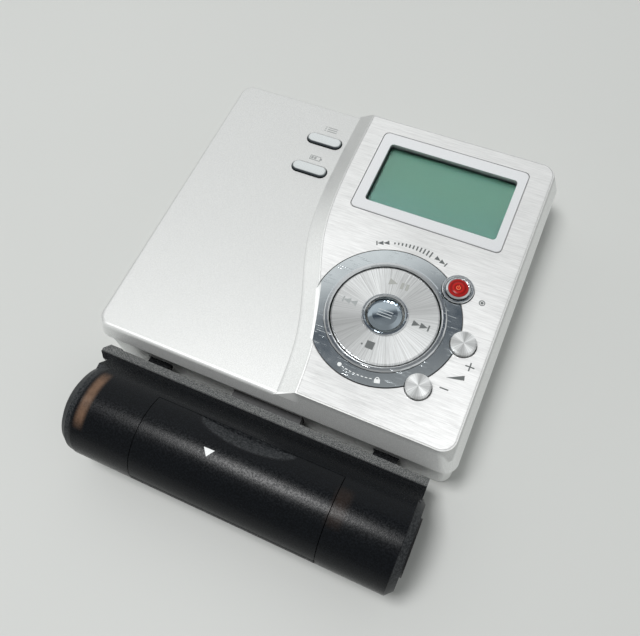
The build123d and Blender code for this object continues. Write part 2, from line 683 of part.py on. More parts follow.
def key_board():
    x0, y0 = LCD_X0 + 1.64, FRONT_Y + FRONT_DRAFT + LID_WALL + 1.4
    x1 = RIGHT_X - RIGHT_DRAFT - LID_WALL - 0.6
    y1 = BACK_Y - BACK_DRAFT - LID_WALL - 0.4
    board = block(x0, x1, y0, y1, BOARD_Z, BOARD_TOP_Z)
    for x, y in board_posts():
        board -= prism(x, y, 0.6, BOARD_Z - 1, BOARD_TOP_Z + 1)
    spider_z = PLATEAU_Z + DIAL_PROUD - DIAL_T - SPIDER_GAP - SPIDER_T
    for turn in (0, 180):
        board += prism(*polar(PIVOT_AT, turn), PIVOT_R, BOARD_TOP_Z - 0.1, spider_z - SPIDER_GAP)
    return board


def board_screws():
    screws = []
    for x, y in board_posts():
        head = prism(x, y, 1.1, BOARD_Z - 0.5, BOARD_Z)
        screws.append(head + prism(x, y, 0.5, BOARD_Z - 0.1, BOARD_TOP_Z))
    return screws


def dome(x, y, z, height):
    """A click dome under a key, as a low bevelled disc."""
    disc = prism(x, y, DOME_R, z, z + height, DOME_SIDES)
    return chamfer(disc.edges().group_by(Axis.Z)[-1], height * 0.6)


def key_domes():
    places = [polar(DIAL_PLUNGER_AT, 90 * turn) for turn in range(4)]
    places += [(DIAL_X, DIAL_Y)] + [place for radius, place in round_keys()]
    return [dome(x, y, BOARD_TOP_Z, DOME_H) for x, y in places]


def pill_board():
    half_l = PILL_L / 2 + PILL_BOARD_MARGIN
    y0 = PILL_FRONT_Y - PILL_W / 2 - PILL_BOARD_MARGIN
    y1 = PILL_REAR_Y + PILL_W / 2 + PILL_BOARD_MARGIN
    z0 = HOLDER_TOP_Z
    board = block(PILL_X - half_l, PILL_X + half_l, y0, y1, z0, z0 + PILL_BOARD_T)
    for y in (PILL_FRONT_Y, PILL_REAR_Y):
        board += prism(PILL_X, y, DOME_R, z0 + PILL_BOARD_T, z0 + PILL_BOARD_T + PILL_DOME_H, DOME_SIDES)
    return board


def disc_holder():
    """Folded sheet tray that carries the cartridge when the lid opens."""
    x, lip_x = HOLDER_X, CARTRIDGE_X - HOLDER_LIP
    y0, y1 = BAY_FRONT_Y, BAY_BACK_Y + BAY_CLEAR + HOLDER_T
    low, top = BAY_Z - BAY_CLEAR - HOLDER_T, HOLDER_TOP_Z
    tray = block(-x, x, y0, y1, low, top)
    tray -= block(-x + HOLDER_T, x - HOLDER_T, y0 - 1, y1 - HOLDER_T, low + HOLDER_T, top - HOLDER_T)
    tray -= block(-lip_x, lip_x, y0 - 1, y1 + 1, low - 1, low + HOLDER_T + 0.01)
    tray -= block(-lip_x, lip_x, BAY_BACK_Y, y1 + 1, low - 1, low + 1.4)
    window_x = CARTRIDGE_X - HOLDER_WINDOW_IN
    window_y0, window_y1 = y0 + HOLDER_WINDOW_FRONT, BAY_BACK_Y - HOLDER_WINDOW_BACK
    return tray - block(-window_x, window_x, window_y0, window_y1, top - 1, top + 1)


# ================================================================ keys that move
def dial_key():
    top = PLATEAU_Z + DIAL_PROUD
    low = top - DIAL_T
    dial = drum(DIAL_X, DIAL_Y, DIAL_R, low, top)
    dial = chamfer(dial.edges().group_by(Axis.Z)[-1], DIAL_BEVEL)
    bore_r = over_flats(HUB_OUT_R + PRESS_CLEAR, HUB_SIDES)
    dial -= prism(DIAL_X, DIAL_Y, bore_r, low - 1, top + 1, HUB_SIDES)
    for turn in range(4):
        dial += prism(*polar(DIAL_PLUNGER_AT, 90 * turn), DIAL_PLUNGER_R, STEM_Z, low + 0.2, 6)
    return dial


def dial_hub_ring():
    top = PLATEAU_Z + DIAL_PROUD + HUB_PROUD
    low = PLATEAU_Z + DIAL_PROUD - DIAL_T
    return crowned_ring(DIAL_X, DIAL_Y, HUB_IN_R, HUB_OUT_R, low, top, 0.2, HUB_SIDES)


def dial_spider():
    """Four-legged rocker plate that the dial tilts on."""
    top = PLATEAU_Z + DIAL_PROUD - DIAL_T - SPIDER_GAP
    plate = prism(DIAL_X, DIAL_Y, SPIDER_BORE_R + SPIDER_LEG, top - SPIDER_T, top, SPIDER_SIDES)
    leg = block(-SPIDER_R, SPIDER_R, -SPIDER_LEG / 2, SPIDER_LEG / 2, top - SPIDER_T, top)
    plate += Pos(DIAL_X, DIAL_Y, 0) * leg
    plate += Pos(DIAL_X, DIAL_Y, 0) * Rot(0, 0, 90) * leg
    for turn in (90, 270):
        plate += prism(*polar(PIVOT_AT, turn), PIVOT_R, top - 0.1, top + SPIDER_GAP - KEY_GAP)
    return plate - prism(DIAL_X, DIAL_Y, SPIDER_BORE_R, top - SPIDER_T - 1, top + 1, SPIDER_SIDES)


def crowned_button(x, y, radius, top, rise, shaft_z, stem_radius):
    """A round key: a crowned head over a stem that reaches to its switch."""
    head = drum(x, y, radius, shaft_z, top)
    head = chamfer(head.edges().group_by(Axis.Z)[-1], rise, rise * KEY_BEVEL)
    return head + prism(x, y, stem_radius, STEM_Z, shaft_z + 0.1, 6)


def centre_button():
    top = PLATEAU_Z + DIAL_PROUD + HUB_PROUD + 0.1
    shaft = PLATEAU_Z + DIAL_PROUD - DIAL_T - SPIDER_GAP + 0.6
    return crowned_button(DIAL_X, DIAL_Y, CENTRE_R, top, CENTRE_DOME, shaft, CENTRE_R - 1.2)


def collar_button(x, y, radius, proud, rise):
    """A round key with a collar that keeps it under the lid's skin."""
    collar_top = CEILING_Z - KEY_COLLAR_GAP
    collar_low = collar_top - KEY_FLANGE_T
    key = crowned_button(x, y, radius, PLATEAU_Z + proud, rise, collar_low + 0.1, KEY_STEM_R)
    return key + prism(x, y, radius + KEY_FLANGE, collar_low, collar_top, 8)


def rec_button():
    x, y = polar(*REC_AT)
    return collar_button(x, y, REC_R, REC_PROUD, 0.3)


def volume_button(angle):
    x, y = polar(VOLUME_AT, angle)
    return collar_button(x, y, VOLUME_R, VOLUME_PROUD, 0.15)


def pill_button(y):
    top = PANEL_Z + PILL_PROUD
    collar_top = PANEL_CEILING_Z - KEY_COLLAR_GAP
    low = HOLDER_TOP_Z + PILL_BOARD_T + PILL_DOME_H + KEY_GAP + PILL_TRAVEL
    key = pill_slab(PILL_X, y, PILL_L, PILL_W, low, top)
    key = chamfer(key.edges().group_by(Axis.Z)[-1], 0.35)
    half_l, half_w = PILL_L / 2 + KEY_FLANGE, PILL_W / 2 + KEY_FLANGE
    return key + block(PILL_X - half_l, PILL_X + half_l, y - half_w, y + half_w, low, collar_top)


# ================================================================ base
def base_outline(inset, z0, z1):
    x, y0, y1 = BASE_X - inset, BASE_FRONT_Y + inset, BASE_BACK_Y - inset
    return rounded_slab(-x, x, y0, y1, BASE_CORNER_R - inset, z0, z1)


def base_case():
    shell = base_outline(0, 0, BASE_RIM_Z)
    shell = chamfer(shell.edges().group_by(Axis.Z)[0], BASE_EDGE_R)
    notch = both_sides(block(NOTCH_X, BASE_X + 1, NOTCH_Y, BASE_BACK_Y + 1, -1, BASE_RIM_Z + 1))
    notch_wall = both_sides(block(NOTCH_X - BASE_WALL, BASE_X, NOTCH_Y - BASE_WALL, BASE_BACK_Y, 0, BACK_RIM_Z))
    cavity = block(-BASE_IN_X, BASE_IN_X, BASE_IN_FRONT_Y, BASE_IN_BACK_Y, FLOOR_T, BASE_RIM_Z + 1)
    side_stop = both_sides(
        block(HOLDER_X + EAR_GAP, BASE_IN_X + 0.1, NOTCH_Y - BASE_WALL, NOTCH_Y, FLOOR_T, BASE_RIM_Z))
    cavity = cavity - notch_wall - side_stop
    shell = shell - cavity - notch
    low_back = block(-BASE_X, BASE_X, NOTCH_Y, BASE_BACK_Y + 1, BACK_RIM_Z, BASE_RIM_Z + 1)
    shell = shell - low_back + hinge_bosses() + base_posts()
    return shell - base_cuts()


def hinge_bosses():
    x0 = NOTCH_X - PIN_HOLD
    boss = prism_x(HINGE_Y - 0.9, HINGE_Z, BOSS_R, x0, NOTCH_X, 12)
    foot = block(x0, NOTCH_X, HINGE_Y - 0.9 - BOSS_R, BASE_IN_BACK_Y + 0.1, FLOOR_T / 2, HINGE_Z)
    return both_sides(boss + foot)


def base_posts():
    posts = None
    for x, y in SCREW_PLACES:
        post = prism(x, y, POST_R, FLOOR_T / 2, SCREW_L + 0.8)
        posts = post if posts is None else posts + post
    for x, y in chassis_places():
        posts += prism(x, y, DAMPER_R, FLOOR_T / 2, CHASSIS_Z - DAMPER_T)
    for x, y in main_board_places():
        posts += prism(x, y, 1.5, FLOOR_T / 2, MAIN_BOARD_Z)
    return posts


def chassis_places():
    x0, x1, y0, y1 = grow(CHASSIS, -2.0)
    return [(x0, y0), (x0, y1), (x1, y0), (x1, y1)]


def main_board_places():
    back_y = BASE_IN_BACK_Y - 4.1
    front_y = -CHASSIS_HALF_D - 5.0
    return [(CHASSIS_X0 + 1.6, back_y), (12.0, back_y), (CHASSIS_X0 + 3.6, front_y), (24.0, front_y)]


def base_cuts():
    """Holes in the base: jacks, case plug, tongues, latch slot, battery hole and screws."""
    cuts = drum_x(HINGE_Y, HINGE_Z, PIN_R + PRESS_CLEAR, NOTCH_X - PIN_HOLD + 0.6, NOTCH_X + 1)
    cuts = both_sides(cuts)
    for y in (HEADPHONE_Y, LINE_Y):
        cuts += prism_x(y, JACK_Z, JACK_COLLAR_R + PRESS_CLEAR, -BASE_X - 1, -BASE_IN_X + 0.5, JACK_SIDES)
    cuts += prism_y(POWER_X, JACK_Z - 0.6, POWER_BORE_R, BASE_IN_BACK_Y - 0.5, BASE_BACK_Y + 1, JACK_SIDES)
    half = SOCKET_W / 2
    cuts += block(-half, half, BASE_FRONT_Y - 1, BASE_IN_FRONT_Y + 0.5, SOCKET_Z0, SOCKET_Z1)
    gap = EAR_GAP
    tongue_half = TONGUE_W / 2 + gap
    cuts += both_sides(block(TONGUE_X - tongue_half, TONGUE_X + tongue_half, BASE_FRONT_Y - 1,
                             BASE_IN_FRONT_Y + 0.5, TONGUE_Z0 - gap, TONGUE_Z1 + gap))
    slot_y0 = SLIDER_Y - THUMB_L / 2 - gap
    slot_y1 = SLIDER_Y + THUMB_L / 2 + SLIDER_TRAVEL + gap
    cuts += block(-BASE_X - 1, -BASE_IN_X + 0.5, slot_y0, slot_y1, THUMB_Z0 - gap, THUMB_Z1 + gap)
    for x, y in SCREW_PLACES:
        cuts += prism(x, y, SCREW_HEAD_R + FIT, -1, SCREW_HEAD_T + 0.1)
        cuts += prism(x, y, SCREW_SHANK_R + PRESS_CLEAR, -1, SCREW_L + 0.2)
    hole = grow(BATTERY, 0.3)
    cuts += block(*hole, -1, FLOOR_T + 1)
    x0, x1, y0, y1 = grow(BATTERY, COVER_MARGIN + COVER_CLEAR)
    cuts += block(-BASE_X - 1, x1, y0, y1, -1, COVER_LIFT + COVER_T + 0.05)
    return cuts


def hinge_pins():
    x1 = RIGHT_X - PIN_SKIN - 0.1
    return both_sides(drum_x(HINGE_Y, HINGE_Z, PIN_R, NOTCH_X - PIN_HOLD + 0.7, x1))


def base_screws():
    screws = []
    for x, y in SCREW_PLACES:
        head = prism(x, y, SCREW_HEAD_R, 0.05, SCREW_HEAD_T)
        screws.append(head + prism(x, y, SCREW_SHANK_R, SCREW_HEAD_T - 0.1, SCREW_L))
    return screws


def battery_cover():
    x0, x1, y0, y1 = grow(BATTERY, COVER_MARGIN)
    z0, z1 = COVER_LIFT, COVER_LIFT + COVER_T
    cover = block(-BASE_X + BASE_EDGE_R / 2, x1, y0, y1, z0, z1)
    cover = chamfer(cover.edges().filter_by(Axis.Z).group_by(Axis.X)[-1], 1.2)
    grips = None
    for index in range(5):
        y = (y0 + y1) / 2 + (index - 2) * 2.0
        groove = block(-BASE_X + 3.0, -BASE_X + 9.0, y - 0.4, y + 0.4, z0 - 1, z0 + 0.25)
        grips = groove if grips is None else grips + groove
    return cover - grips


def battery_pack():
    x0, x1, y0, y1 = BATTERY
    pack = block(x0, x1, y0, y1, BATTERY_Z, BATTERY_Z + BATTERY_T)
    return chamfer(pack.edges().filter_by(Axis.Y), BATTERY_EDGE_R / 2)


def battery_contacts():
    x0, x1, y0, y1 = BATTERY
    strips = []
    for index in range(3):
        x = x0 + 3.5 + index * 3.2
        strips.append(block(x - 0.8, x + 0.8, y1 + 0.02, y1 + 0.35, FLOOR_T, BATTERY_Z + BATTERY_T - 0.6))
    return strips


def main_board():
    board = block(*MAIN_BOARD, MAIN_BOARD_Z, MAIN_BOARD_Z + MAIN_BOARD_T)
    x0, x1, y0, y1 = grow(CHASSIS, BOARD_WINDOW_GAP)
    low, high = MAIN_BOARD_Z - 1, MAIN_BOARD_Z + MAIN_BOARD_T + 1
    board -= block(x0, BASE_IN_X, y0, y1, low, high)
    half = SOCKET_W / 2 + SOCKET_WALL + 0.3
    board -= block(-half, half, BASE_IN_FRONT_Y, BASE_IN_FRONT_Y + SOCKET_DEPTH + 0.5, low, high)
    half = POWER_W / 2 + 0.3
    board -= block(POWER_X - half, POWER_X + half, BASE_IN_BACK_Y - POWER_L - 0.3, BASE_BACK_Y, low, high)
    board -= block(NOTCH_X - PIN_HOLD - 0.3, BASE_X, NOTCH_Y - BASE_WALL - 0.3, BASE_BACK_Y, low, high)
    for x, y in SCREW_PLACES:
        board -= prism(x, y, POST_R + 0.2, low, high)
    for x, y in main_board_places():
        board -= prism(x, y, 0.6, low, high)
    return board


def board_chips():
    """The larger packages on the main board: x, y, length, width, height."""
    edge = CHASSIS_HALF_D
    packages = [
        (2.0, edge + 6.8, 11.0, 8.0, 1.1),
        (CHASSIS_X0 + 2.6, edge + 5.4, 6.0, 6.0, 0.9),
        (BASE_IN_X - 6.3, edge + 5.0, 6.0, 6.0, 1.2),
        (8.0, -edge - 7.0, 9.0, 6.0, 1.0),
        (17.0, -edge - 7.4, 5.0, 7.0, 1.4),
        (BASE_IN_X - 7.9, -edge - 6.4, 6.0, 6.0, 1.0),
    ]
    top = MAIN_BOARD_Z + MAIN_BOARD_T
    chips = []
    for x, y, length, width, height in packages:
        chip = block(x - length / 2, x + length / 2, y - width / 2, y + width / 2, top, top + height)
        chips.append(chip)
    return chips


def jack(y):
    """Round socket for a 3.5 mm plug, in the left wall."""
    x_in = -BASE_IN_X
    z0, z1 = JACK_Z - JACK_H / 2, JACK_Z + JACK_H / 2
    body = block(x_in, x_in + JACK_L, y - JACK_W / 2, y + JACK_W / 2, z0, z1)
    body = chamfer(body.edges().filter_by(Axis.X), 0.5)
    body += prism_x(y, JACK_Z, JACK_COLLAR_R, -BASE_X, x_in + 0.5, JACK_SIDES)
    return body - drum_x(y, JACK_Z, JACK_BORE_R, -BASE_X - 1, x_in + JACK_L - 0.8)


def power_jack():
    z = JACK_Z - 0.6
    y1 = BASE_IN_BACK_Y
    half = POWER_W / 2
    body = block(POWER_X - half, POWER_X + half, y1 - POWER_L, y1, FLOOR_T, z + POWER_BORE_R + 0.6)
    body = chamfer(body.edges().filter_by(Axis.Y).group_by(Axis.Z)[-1], 0.5)
    body -= prism_y(POWER_X, z, POWER_BORE_R, y1 - POWER_L + 0.8, y1 + 1, JACK_SIDES)
    return body + prism_y(POWER_X, z, POWER_PIN_R, y1 - POWER_L + 0.4, y1 - 0.6)


def case_socket():
    """Shell behind the base's front wall that takes the battery case's plug."""
    half = SOCKET_W / 2
    y0 = BASE_IN_FRONT_Y
    wall = SOCKET_WALL
    body = block(-half - wall, half + wall, y0, y0 + SOCKET_DEPTH, SOCKET_Z0 - wall, SOCKET_Z1 + wall / 2)
    body += block(-half + 2, half - 2, y0, y0 + SOCKET_DEPTH, FLOOR_T, SOCKET_Z0 - wall)
    return body - block(-half, half, y0 - 1, y0 + SOCKET_DEPTH - wall, SOCKET_Z0, SOCKET_Z1 - wall / 4)


def chassis_plate():
    plate = block(*CHASSIS, CHASSIS_Z, CHASSIS_Z + CHASSIS_T)
    top = CHASSIS_Z + CHASSIS_T
    half = ROD_SPACING / 2 - 2.0
    plate -= block(SLED_X0 - 1.0, CHASSIS[1] - 1.6, -half, half, CHASSIS_Z - 1, top + 1)
    motor_y = SPINDLE_Y + SCREW_Y
    plate -= block(SLED_MOTOR_X1 - SLED_MOTOR_L - 0.5, SLED_MOTOR_X1 + 0.5, motor_y - SLED_MOTOR_R - 0.3,
                   motor_y + SLED_MOTOR_R + 0.3, CHASSIS_Z - 1, top + 1)
    for y in rod_places():
        for x0 in (ROD_X0 - ROD_BRACKET_T, ROD_X1):
            plate += block(x0, x0 + ROD_BRACKET_T, y - 1.5, y + 1.5, CHASSIS_Z, ROD_Z + 1.3)
        rod_r = ROD_R + PRESS_CLEAR
        plate -= block(ROD_X0 - 0.6, ROD_X1 + 0.6, y - rod_r, y + rod_r, ROD_Z - rod_r, ROD_Z + 2)
    plate += block(SCREW_X1, SCREW_X1 + 0.8, motor_y - 1.1, motor_y + 1.1, CHASSIS_Z, ROD_Z + 1.4)
    plate -= prism_x(motor_y, ROD_Z, SCREW_R * 0.8 + ROD_CLEAR, SCREW_X1 - 1, SCREW_X1 + 2)
    for x, y in chassis_places():
        plate -= prism(x, y, 0.7, CHASSIS_Z - 1, top + 1)
    return plate


def rod_places():
    return SPINDLE_Y + ROD_SPACING / 2, SPINDLE_Y - ROD_SPACING / 2


def chassis_dampers():
    return [prism(x, y, DAMPER_R, CHASSIS_Z - DAMPER_T, CHASSIS_Z, 8) for x, y in chassis_places()]


def chassis_screws():
    screws = []
    for x, y in chassis_places():
        head = prism(x, y, 1.1, CHASSIS_Z + CHASSIS_T, CHASSIS_Z + CHASSIS_T + 0.5)
        screws.append(head + prism(x, y, 0.65, CHASSIS_Z + 0.05, CHASSIS_Z + CHASSIS_T + 0.1))
    return screws


def spindle_motor():
    z0 = CHASSIS_Z + CHASSIS_T
    can = prism(SPINDLE_X, SPINDLE_Y, MOTOR_R, z0, z0 + MOTOR_T, MOTOR_SIDES)
    can = chamfer(can.edges().group_by(Axis.Z)[-1], 0.4)
    return can - prism(SPINDLE_X, SPINDLE_Y, SPINDLE_R + 2 * ROD_CLEAR, z0 + 0.4, z0 + MOTOR_T + 1, 12)


def turntable():
    z1 = CHASSIS_Z + CHASSIS_T + MOTOR_T + TURNTABLE_GAP
    disc_top = z1 + TURNTABLE_T
    shaft = prism(SPINDLE_X, SPINDLE_Y, SPINDLE_R, CHASSIS_Z + CHASSIS_T + 0.45, TURNTABLE_TOP_Z - 0.2, 12)
    plate = drum(SPINDLE_X, SPINDLE_Y, TURNTABLE_R, z1, disc_top)
    hub = prism(SPINDLE_X, SPINDLE_Y, TURNTABLE_HUB_R, disc_top, TURNTABLE_TOP_Z, MOTOR_SIDES)
    hub = chamfer(hub.edges().group_by(Axis.Z)[-1], TURNTABLE_HUB_BEVEL)
    lugs = None
    for turn in range(3):
        lug = Rot(0, 0, 120 * turn) * block(TURNTABLE_HUB_R + 0.8, TURNTABLE_R - 0.9, -0.5, 0.5, 0, 0.25)
        lugs = lug if lugs is None else lugs + lug
    return plate + hub + shaft + Pos(SPINDLE_X, SPINDLE_Y, disc_top) * lugs


def guide_rods():
    return [prism_x(y, ROD_Z, ROD_R, ROD_X0 - 0.5, ROD_X1 + 0.5, ROD_SIDES) for y in rod_places()]


def sled_motor():
    y = SPINDLE_Y + SCREW_Y
    can = drum_x(y, ROD_Z, SLED_MOTOR_R, SLED_MOTOR_X1 - SLED_MOTOR_L, SLED_MOTOR_X1)
    return can - prism_x(y, ROD_Z, SCREW_R * 1.2 + ROD_CLEAR, SLED_MOTOR_X1 - 2.0, SLED_MOTOR_X1 + 1)


def lead_screw():
    y = SPINDLE_Y + SCREW_Y
    screw = drum_x(y, ROD_Z, SCREW_R, SLED_MOTOR_X1 - 1.8, SCREW_X1 - 0.1)
    return screw + prism_x(y, ROD_Z, SCREW_R * 0.6, SCREW_X1 - 0.2, SCREW_X1 + 0.7)


def pickup_sled():
    """Cast carriage that runs on two rods, with a half nut on the lead screw."""
    x0, x1 = SLED_X0, SLED_X0 + SLED_L
    rod_back, rod_front = rod_places()
    half = ROD_SPACING / 2 - 2.6
    body = block(x0, x1, SPINDLE_Y - half, SPINDLE_Y + half, SLED_LOW_Z, SLED_TOP_Z)
    body = chamfer(body.edges().filter_by(Axis.Z), 0.8)
    bush_r = ROD_R + ROD_BUSH_T
    low, high = ROD_Z - bush_r, ROD_Z + bush_r
    body += block(x0 + 1.5, x1 - 1.5, SPINDLE_Y + half - 0.5, rod_back + bush_r, low, high)
    body += block(x0 + 3.5, x1 - 3.5, rod_front - bush_r, SPINDLE_Y - half + 0.5, low, high)
    nut_y = SPINDLE_Y + SCREW_Y
    body += block(x0 + 4.2, x1 - 4.2, nut_y - 0.4, rod_front, ROD_Z + SCREW_R + 0.03, ROD_Z + SCREW_R + 0.6)
    body += block(x0 + 4.2, x1 - 4.2, rod_front - 1.2, rod_front, ROD_Z, ROD_Z + SCREW_R + 0.3)
    rod_r = ROD_R + ROD_CLEAR
    body -= prism_x(rod_back, ROD_Z, rod_r, x0 - 1, x1 + 1, ROD_SIDES)
    body -= block(x0 - 1, x1 + 1, rod_front - 2 * bush_r, rod_front + rod_r, ROD_Z - rod_r, ROD_Z + rod_r)
    lens_x = (x0 + x1) / 2
    return body - prism(lens_x, SPINDLE_Y, LENS_R + FIT, SLED_LOW_Z + 0.8, SLED_TOP_Z + 1, LENS_SIDES)


def pickup_lens():
    lens_x = SLED_X0 + SLED_L / 2
    z0 = SLED_LOW_Z + 0.8
    top = SLED_TOP_Z + LENS_PROUD
    lens = prism(lens_x, SPINDLE_Y, LENS_R, z0, top, LENS_SIDES)
    return chamfer(lens.edges().group_by(Axis.Z)[-1], 0.3)


def open_slider():
    """Thumb slide in the left wall, with the plate that holds the lid's catch."""
    x0, x1 = SLIDER_X0, SLIDER_X0 + SLIDER_T
    plate = block(x0, x1, SLIDER_Y - SLIDER_L / 2, SLIDER_Y + SLIDER_L / 2, SLIDER_Z0, SLIDER_Z1)
    thumb = block(-RIGHT_X, x0 + 0.1, SLIDER_Y - THUMB_L / 2, SLIDER_Y + THUMB_L / 2, THUMB_Z0, THUMB_Z1)
    hook_y = SLIDER_Y + CATCH_W / 2 + HOOK_GAP
    hook = block(x1 - 0.1, x1 + FIT + CATCH_T, hook_y, hook_y + 1.4, SLIDER_Z1 - 1.0, SLIDER_Z1)
    return plate + thumb + hook


# ================================================================ battery case
def case_drum():
    """The round part of the case: a cylinder whose two ends are rounded by a few bevels."""
    points = [(CASE_LEFT_X, 0)]
    points += rounding(CASE_LEFT_X + CASE_LEFT_R, -1, CASE_LEFT_R, CASE_LEFT_SIDES)
    points += reversed(rounding(CASE_RIGHT_X - CASE_RIGHT_R, 1, CASE_RIGHT_R, CASE_RIGHT_SIDES))
    points.append((CASE_RIGHT_X, 0))
    return turned_case(points)


def rounding(x, side, radius, steps):
    """Points (x, distance from the axis) on the quarter round at one end of the case."""
    turns = [math.radians(90 * index / steps) for index in range(steps + 1)]
    return [(x + side * radius * math.cos(turn), CASE_R - radius + radius * math.sin(turn)) for turn in turns]


def turned_case(points):
    return Pos(0, CASE_Y, CASE_Z) * revolve(make_face(Polyline(*points, close=True)), Axis.X)


def case_bore():
    """The hollow of the round part, with flats, and bevelled in the rounded left end."""
    x0, x1 = CASE_LEFT_X + CASE_WALL, CASE_RIGHT_X - CASE_WALL
    bore = prism_x(CASE_Y, CASE_Z, over_flats(CASE_R - CASE_WALL, BORE_SIDES), x0, x1, BORE_SIDES)
    return chamfer(bore.edges().group_by(Axis.X)[0], CASE_LEFT_R - CASE_WALL)


def flank_section(inset):
    """(y, z) outline of the part of the case that reaches from the drum towards the player."""
    reach, rise = FLANGE_FRONT_Y - CASE_Y, CASE_SEAM_Z - CASE_Z
    distance = math.hypot(reach, rise)
    tangent = math.atan2(rise, reach) + math.acos(CASE_R / distance)
    radius = CASE_R - inset
    touch = (CASE_Y + radius * math.cos(tangent), CASE_Z + radius * math.sin(tangent))
    slope_in = inset / math.sin(tangent)
    foot = inset + FLANGE_FOOT_R * 0.3
    points = [
        (CASE_Y, CASE_Z - radius),
        (FLANGE_BACK_Y - foot - FLANGE_FOOT_R, CASE_Z - radius),
        (FLANGE_BACK_Y - inset, CASE_Z - radius + FLANGE_FOOT_R),
        (FLANGE_BACK_Y - inset, CASE_SEAM_Z - inset),
        (FLANGE_FRONT_Y - slope_in, CASE_SEAM_Z - inset),
        touch,
        (CASE_Y, CASE_Z + radius * 0.5),
    ]
    return Plane.YZ * make_face(Polyline(*points, close=True))


def case_flank(inset):
    x0, x1 = FLANGE_X0 + inset, FLANGE_X1 - inset
    return extrude(Pos(x0, 0, 0) * flank_section(inset), x1 - x0, dir=(1, 0, 0))


def case_outer():
    return case_drum() + case_flank(0)


def case_hollow():
    return case_bore() + case_flank(CASE_WALL)


def above_seam():
    far = 2 * CASE_R
    return block(CASE_LEFT_X - far, CASE_RIGHT_X + far, CASE_Y - far, FLANGE_FRONT_Y, CASE_SEAM_Z, CASE_Z + far)


def below_seam():
    far = 2 * CASE_R
    return block(CASE_LEFT_X - far, CASE_RIGHT_X + far, CASE_Y - far, CASE_Y + far, -far, CASE_SEAM_Z)


def door_sector(radius, x0, x1, angle):
    """Wedge round the cell's axis, from the door's free edge over the top and down to the seam."""
    steps = 5
    points = [(CASE_Y, CASE_Z)]
    end = 180.0 - math.degrees(math.asin((CASE_SEAM_Z - CASE_Z) / CASE_R))
    for index in range(steps + 1):
        turn = math.radians(angle + (end - angle) * index / steps)
        points.append((CASE_Y + radius * math.cos(turn), CASE_Z + radius * math.sin(turn)))
    face = Plane.YZ * make_face(Polyline(*points, close=True))
    return extrude(Pos(x0, 0, 0) * face, x1 - x0, dir=(1, 0, 0))


def case_upper_cover():
    cover = (case_outer() - case_hollow()) & above_seam()
    cover -= door_sector(CASE_R * 2, DOOR_X0, DOOR_X1, DOOR_ANGLE)
    return cover - door_pin_bore()


def door_pin_bore():
    x0, x1 = DOOR_X0 - DOOR_PIN_HOLD - 0.2, DOOR_X1 + DOOR_PIN_HOLD + 0.2
    return drum_x(DOOR_AXIS_Y, DOOR_AXIS_Z, DOOR_PIN_R + PRESS_CLEAR, x0, x1)


def case_door():
    x0, x1 = DOOR_X0 + DOOR_GAP, DOOR_X1 - DOOR_GAP
    gap_angle = math.degrees(DOOR_GAP / CASE_R)
    shell = drum_x(CASE_Y, CASE_Z, CASE_R, x0, x1)
    shell -= drum_x(CASE_Y, CASE_Z, CASE_R - CASE_WALL, x0 - 1, x1 + 1)
    shell = shell & door_sector(CASE_R * 2, x0, x1, DOOR_ANGLE + gap_angle)
    low = block(x0 - 1, x1 + 1, CASE_Y - 2 * CASE_R, DOOR_AXIS_Y + 1.5, 0, DOOR_AXIS_Z)
    shell = shell - low + drum_x(DOOR_AXIS_Y, DOOR_AXIS_Z, DOOR_BEAD_R, x0, x1)
    shell -= drum_x(DOOR_AXIS_Y, DOOR_AXIS_Z, DOOR_PIN_R + PIN_CLEAR, x0 - 1, x1 + 1)
    return shell - finger_scoop()


def finger_scoop():
    """Shallow lens-shaped scoop at the door's free edge, cut by a large upright cylinder."""
    turn = math.radians(DOOR_ANGLE)
    radius = (SCOOP_HALF_W ** 2 + SCOOP_DEPTH ** 2) / (2 * SCOOP_DEPTH)
    out = CASE_R - SCOOP_DEPTH + radius
    centre = Pos(SCOOP_X, CASE_Y + out * math.cos(turn), CASE_Z + out * math.sin(turn))
    return centre * Rot(DOOR_ANGLE, 0, 0) * Cylinder(radius, 2 * CASE_R)


def case_lower_shell():
    shell = (case_outer() - case_hollow()) & below_seam()
    shell += cell_ribs() & case_outer() & below_seam()
    cell_r = over_flats(CELL_R + CELL_CLEAR, CRADLE_SIDES)
    shell -= prism_x(CASE_Y, CASE_Z, cell_r, CELL_X0 - CONTACT_T, CELL_X1 + CONTACT_T, CRADLE_SIDES)
    groove = drum_x(DOOR_AXIS_Y, DOOR_AXIS_Z, DOOR_BEAD_R + 0.2, DOOR_X0, DOOR_X1)
    lip_z = DOOR_AXIS_Z - DOOR_BEAD_R - 0.5
    lip = block(DOOR_X0, DOOR_X1, CASE_Y - 2 * CASE_R, DOOR_AXIS_Y, lip_z, CASE_SEAM_Z + 1)
    shell = shell - groove - lip - door_pin_bore()
    shell += end_tab() + plug_tongues()
    half = SOCKET_W / 2 - PLUG_CLEAR
    return shell - block(-half, half, FLANGE_BACK_Y - CASE_WALL - 0.5, FLANGE_BACK_Y + 1,
                         SOCKET_Z0 + PLUG_CLEAR, SOCKET_Z1 - PLUG_CLEAR - 0.2)


def cell_ribs():
    """Cradle ribs under the cell and the partitions that hold its contacts."""
    low, high = 0, CASE_SEAM_Z
    y0, y1 = CASE_Y - CASE_R, FLANGE_BACK_Y
    left = CELL_X0 - CONTACT_T
    right = CELL_X1 + CONTACT_T
    ribs = block(left - PARTITION_T, left, y0, y1, low, high)
    ribs += block(right, right + PARTITION_T, y0, y1, low, high)
    count = int((CELL_X1 - CELL_X0) // RIB_STEP)
    for index in range(count):
        x = CELL_X0 + RIB_STEP * (index + 0.5)
        ribs += block(x - RIB_T / 2, x + RIB_T / 2, y0, y1, low, CASE_Z)
    return ribs


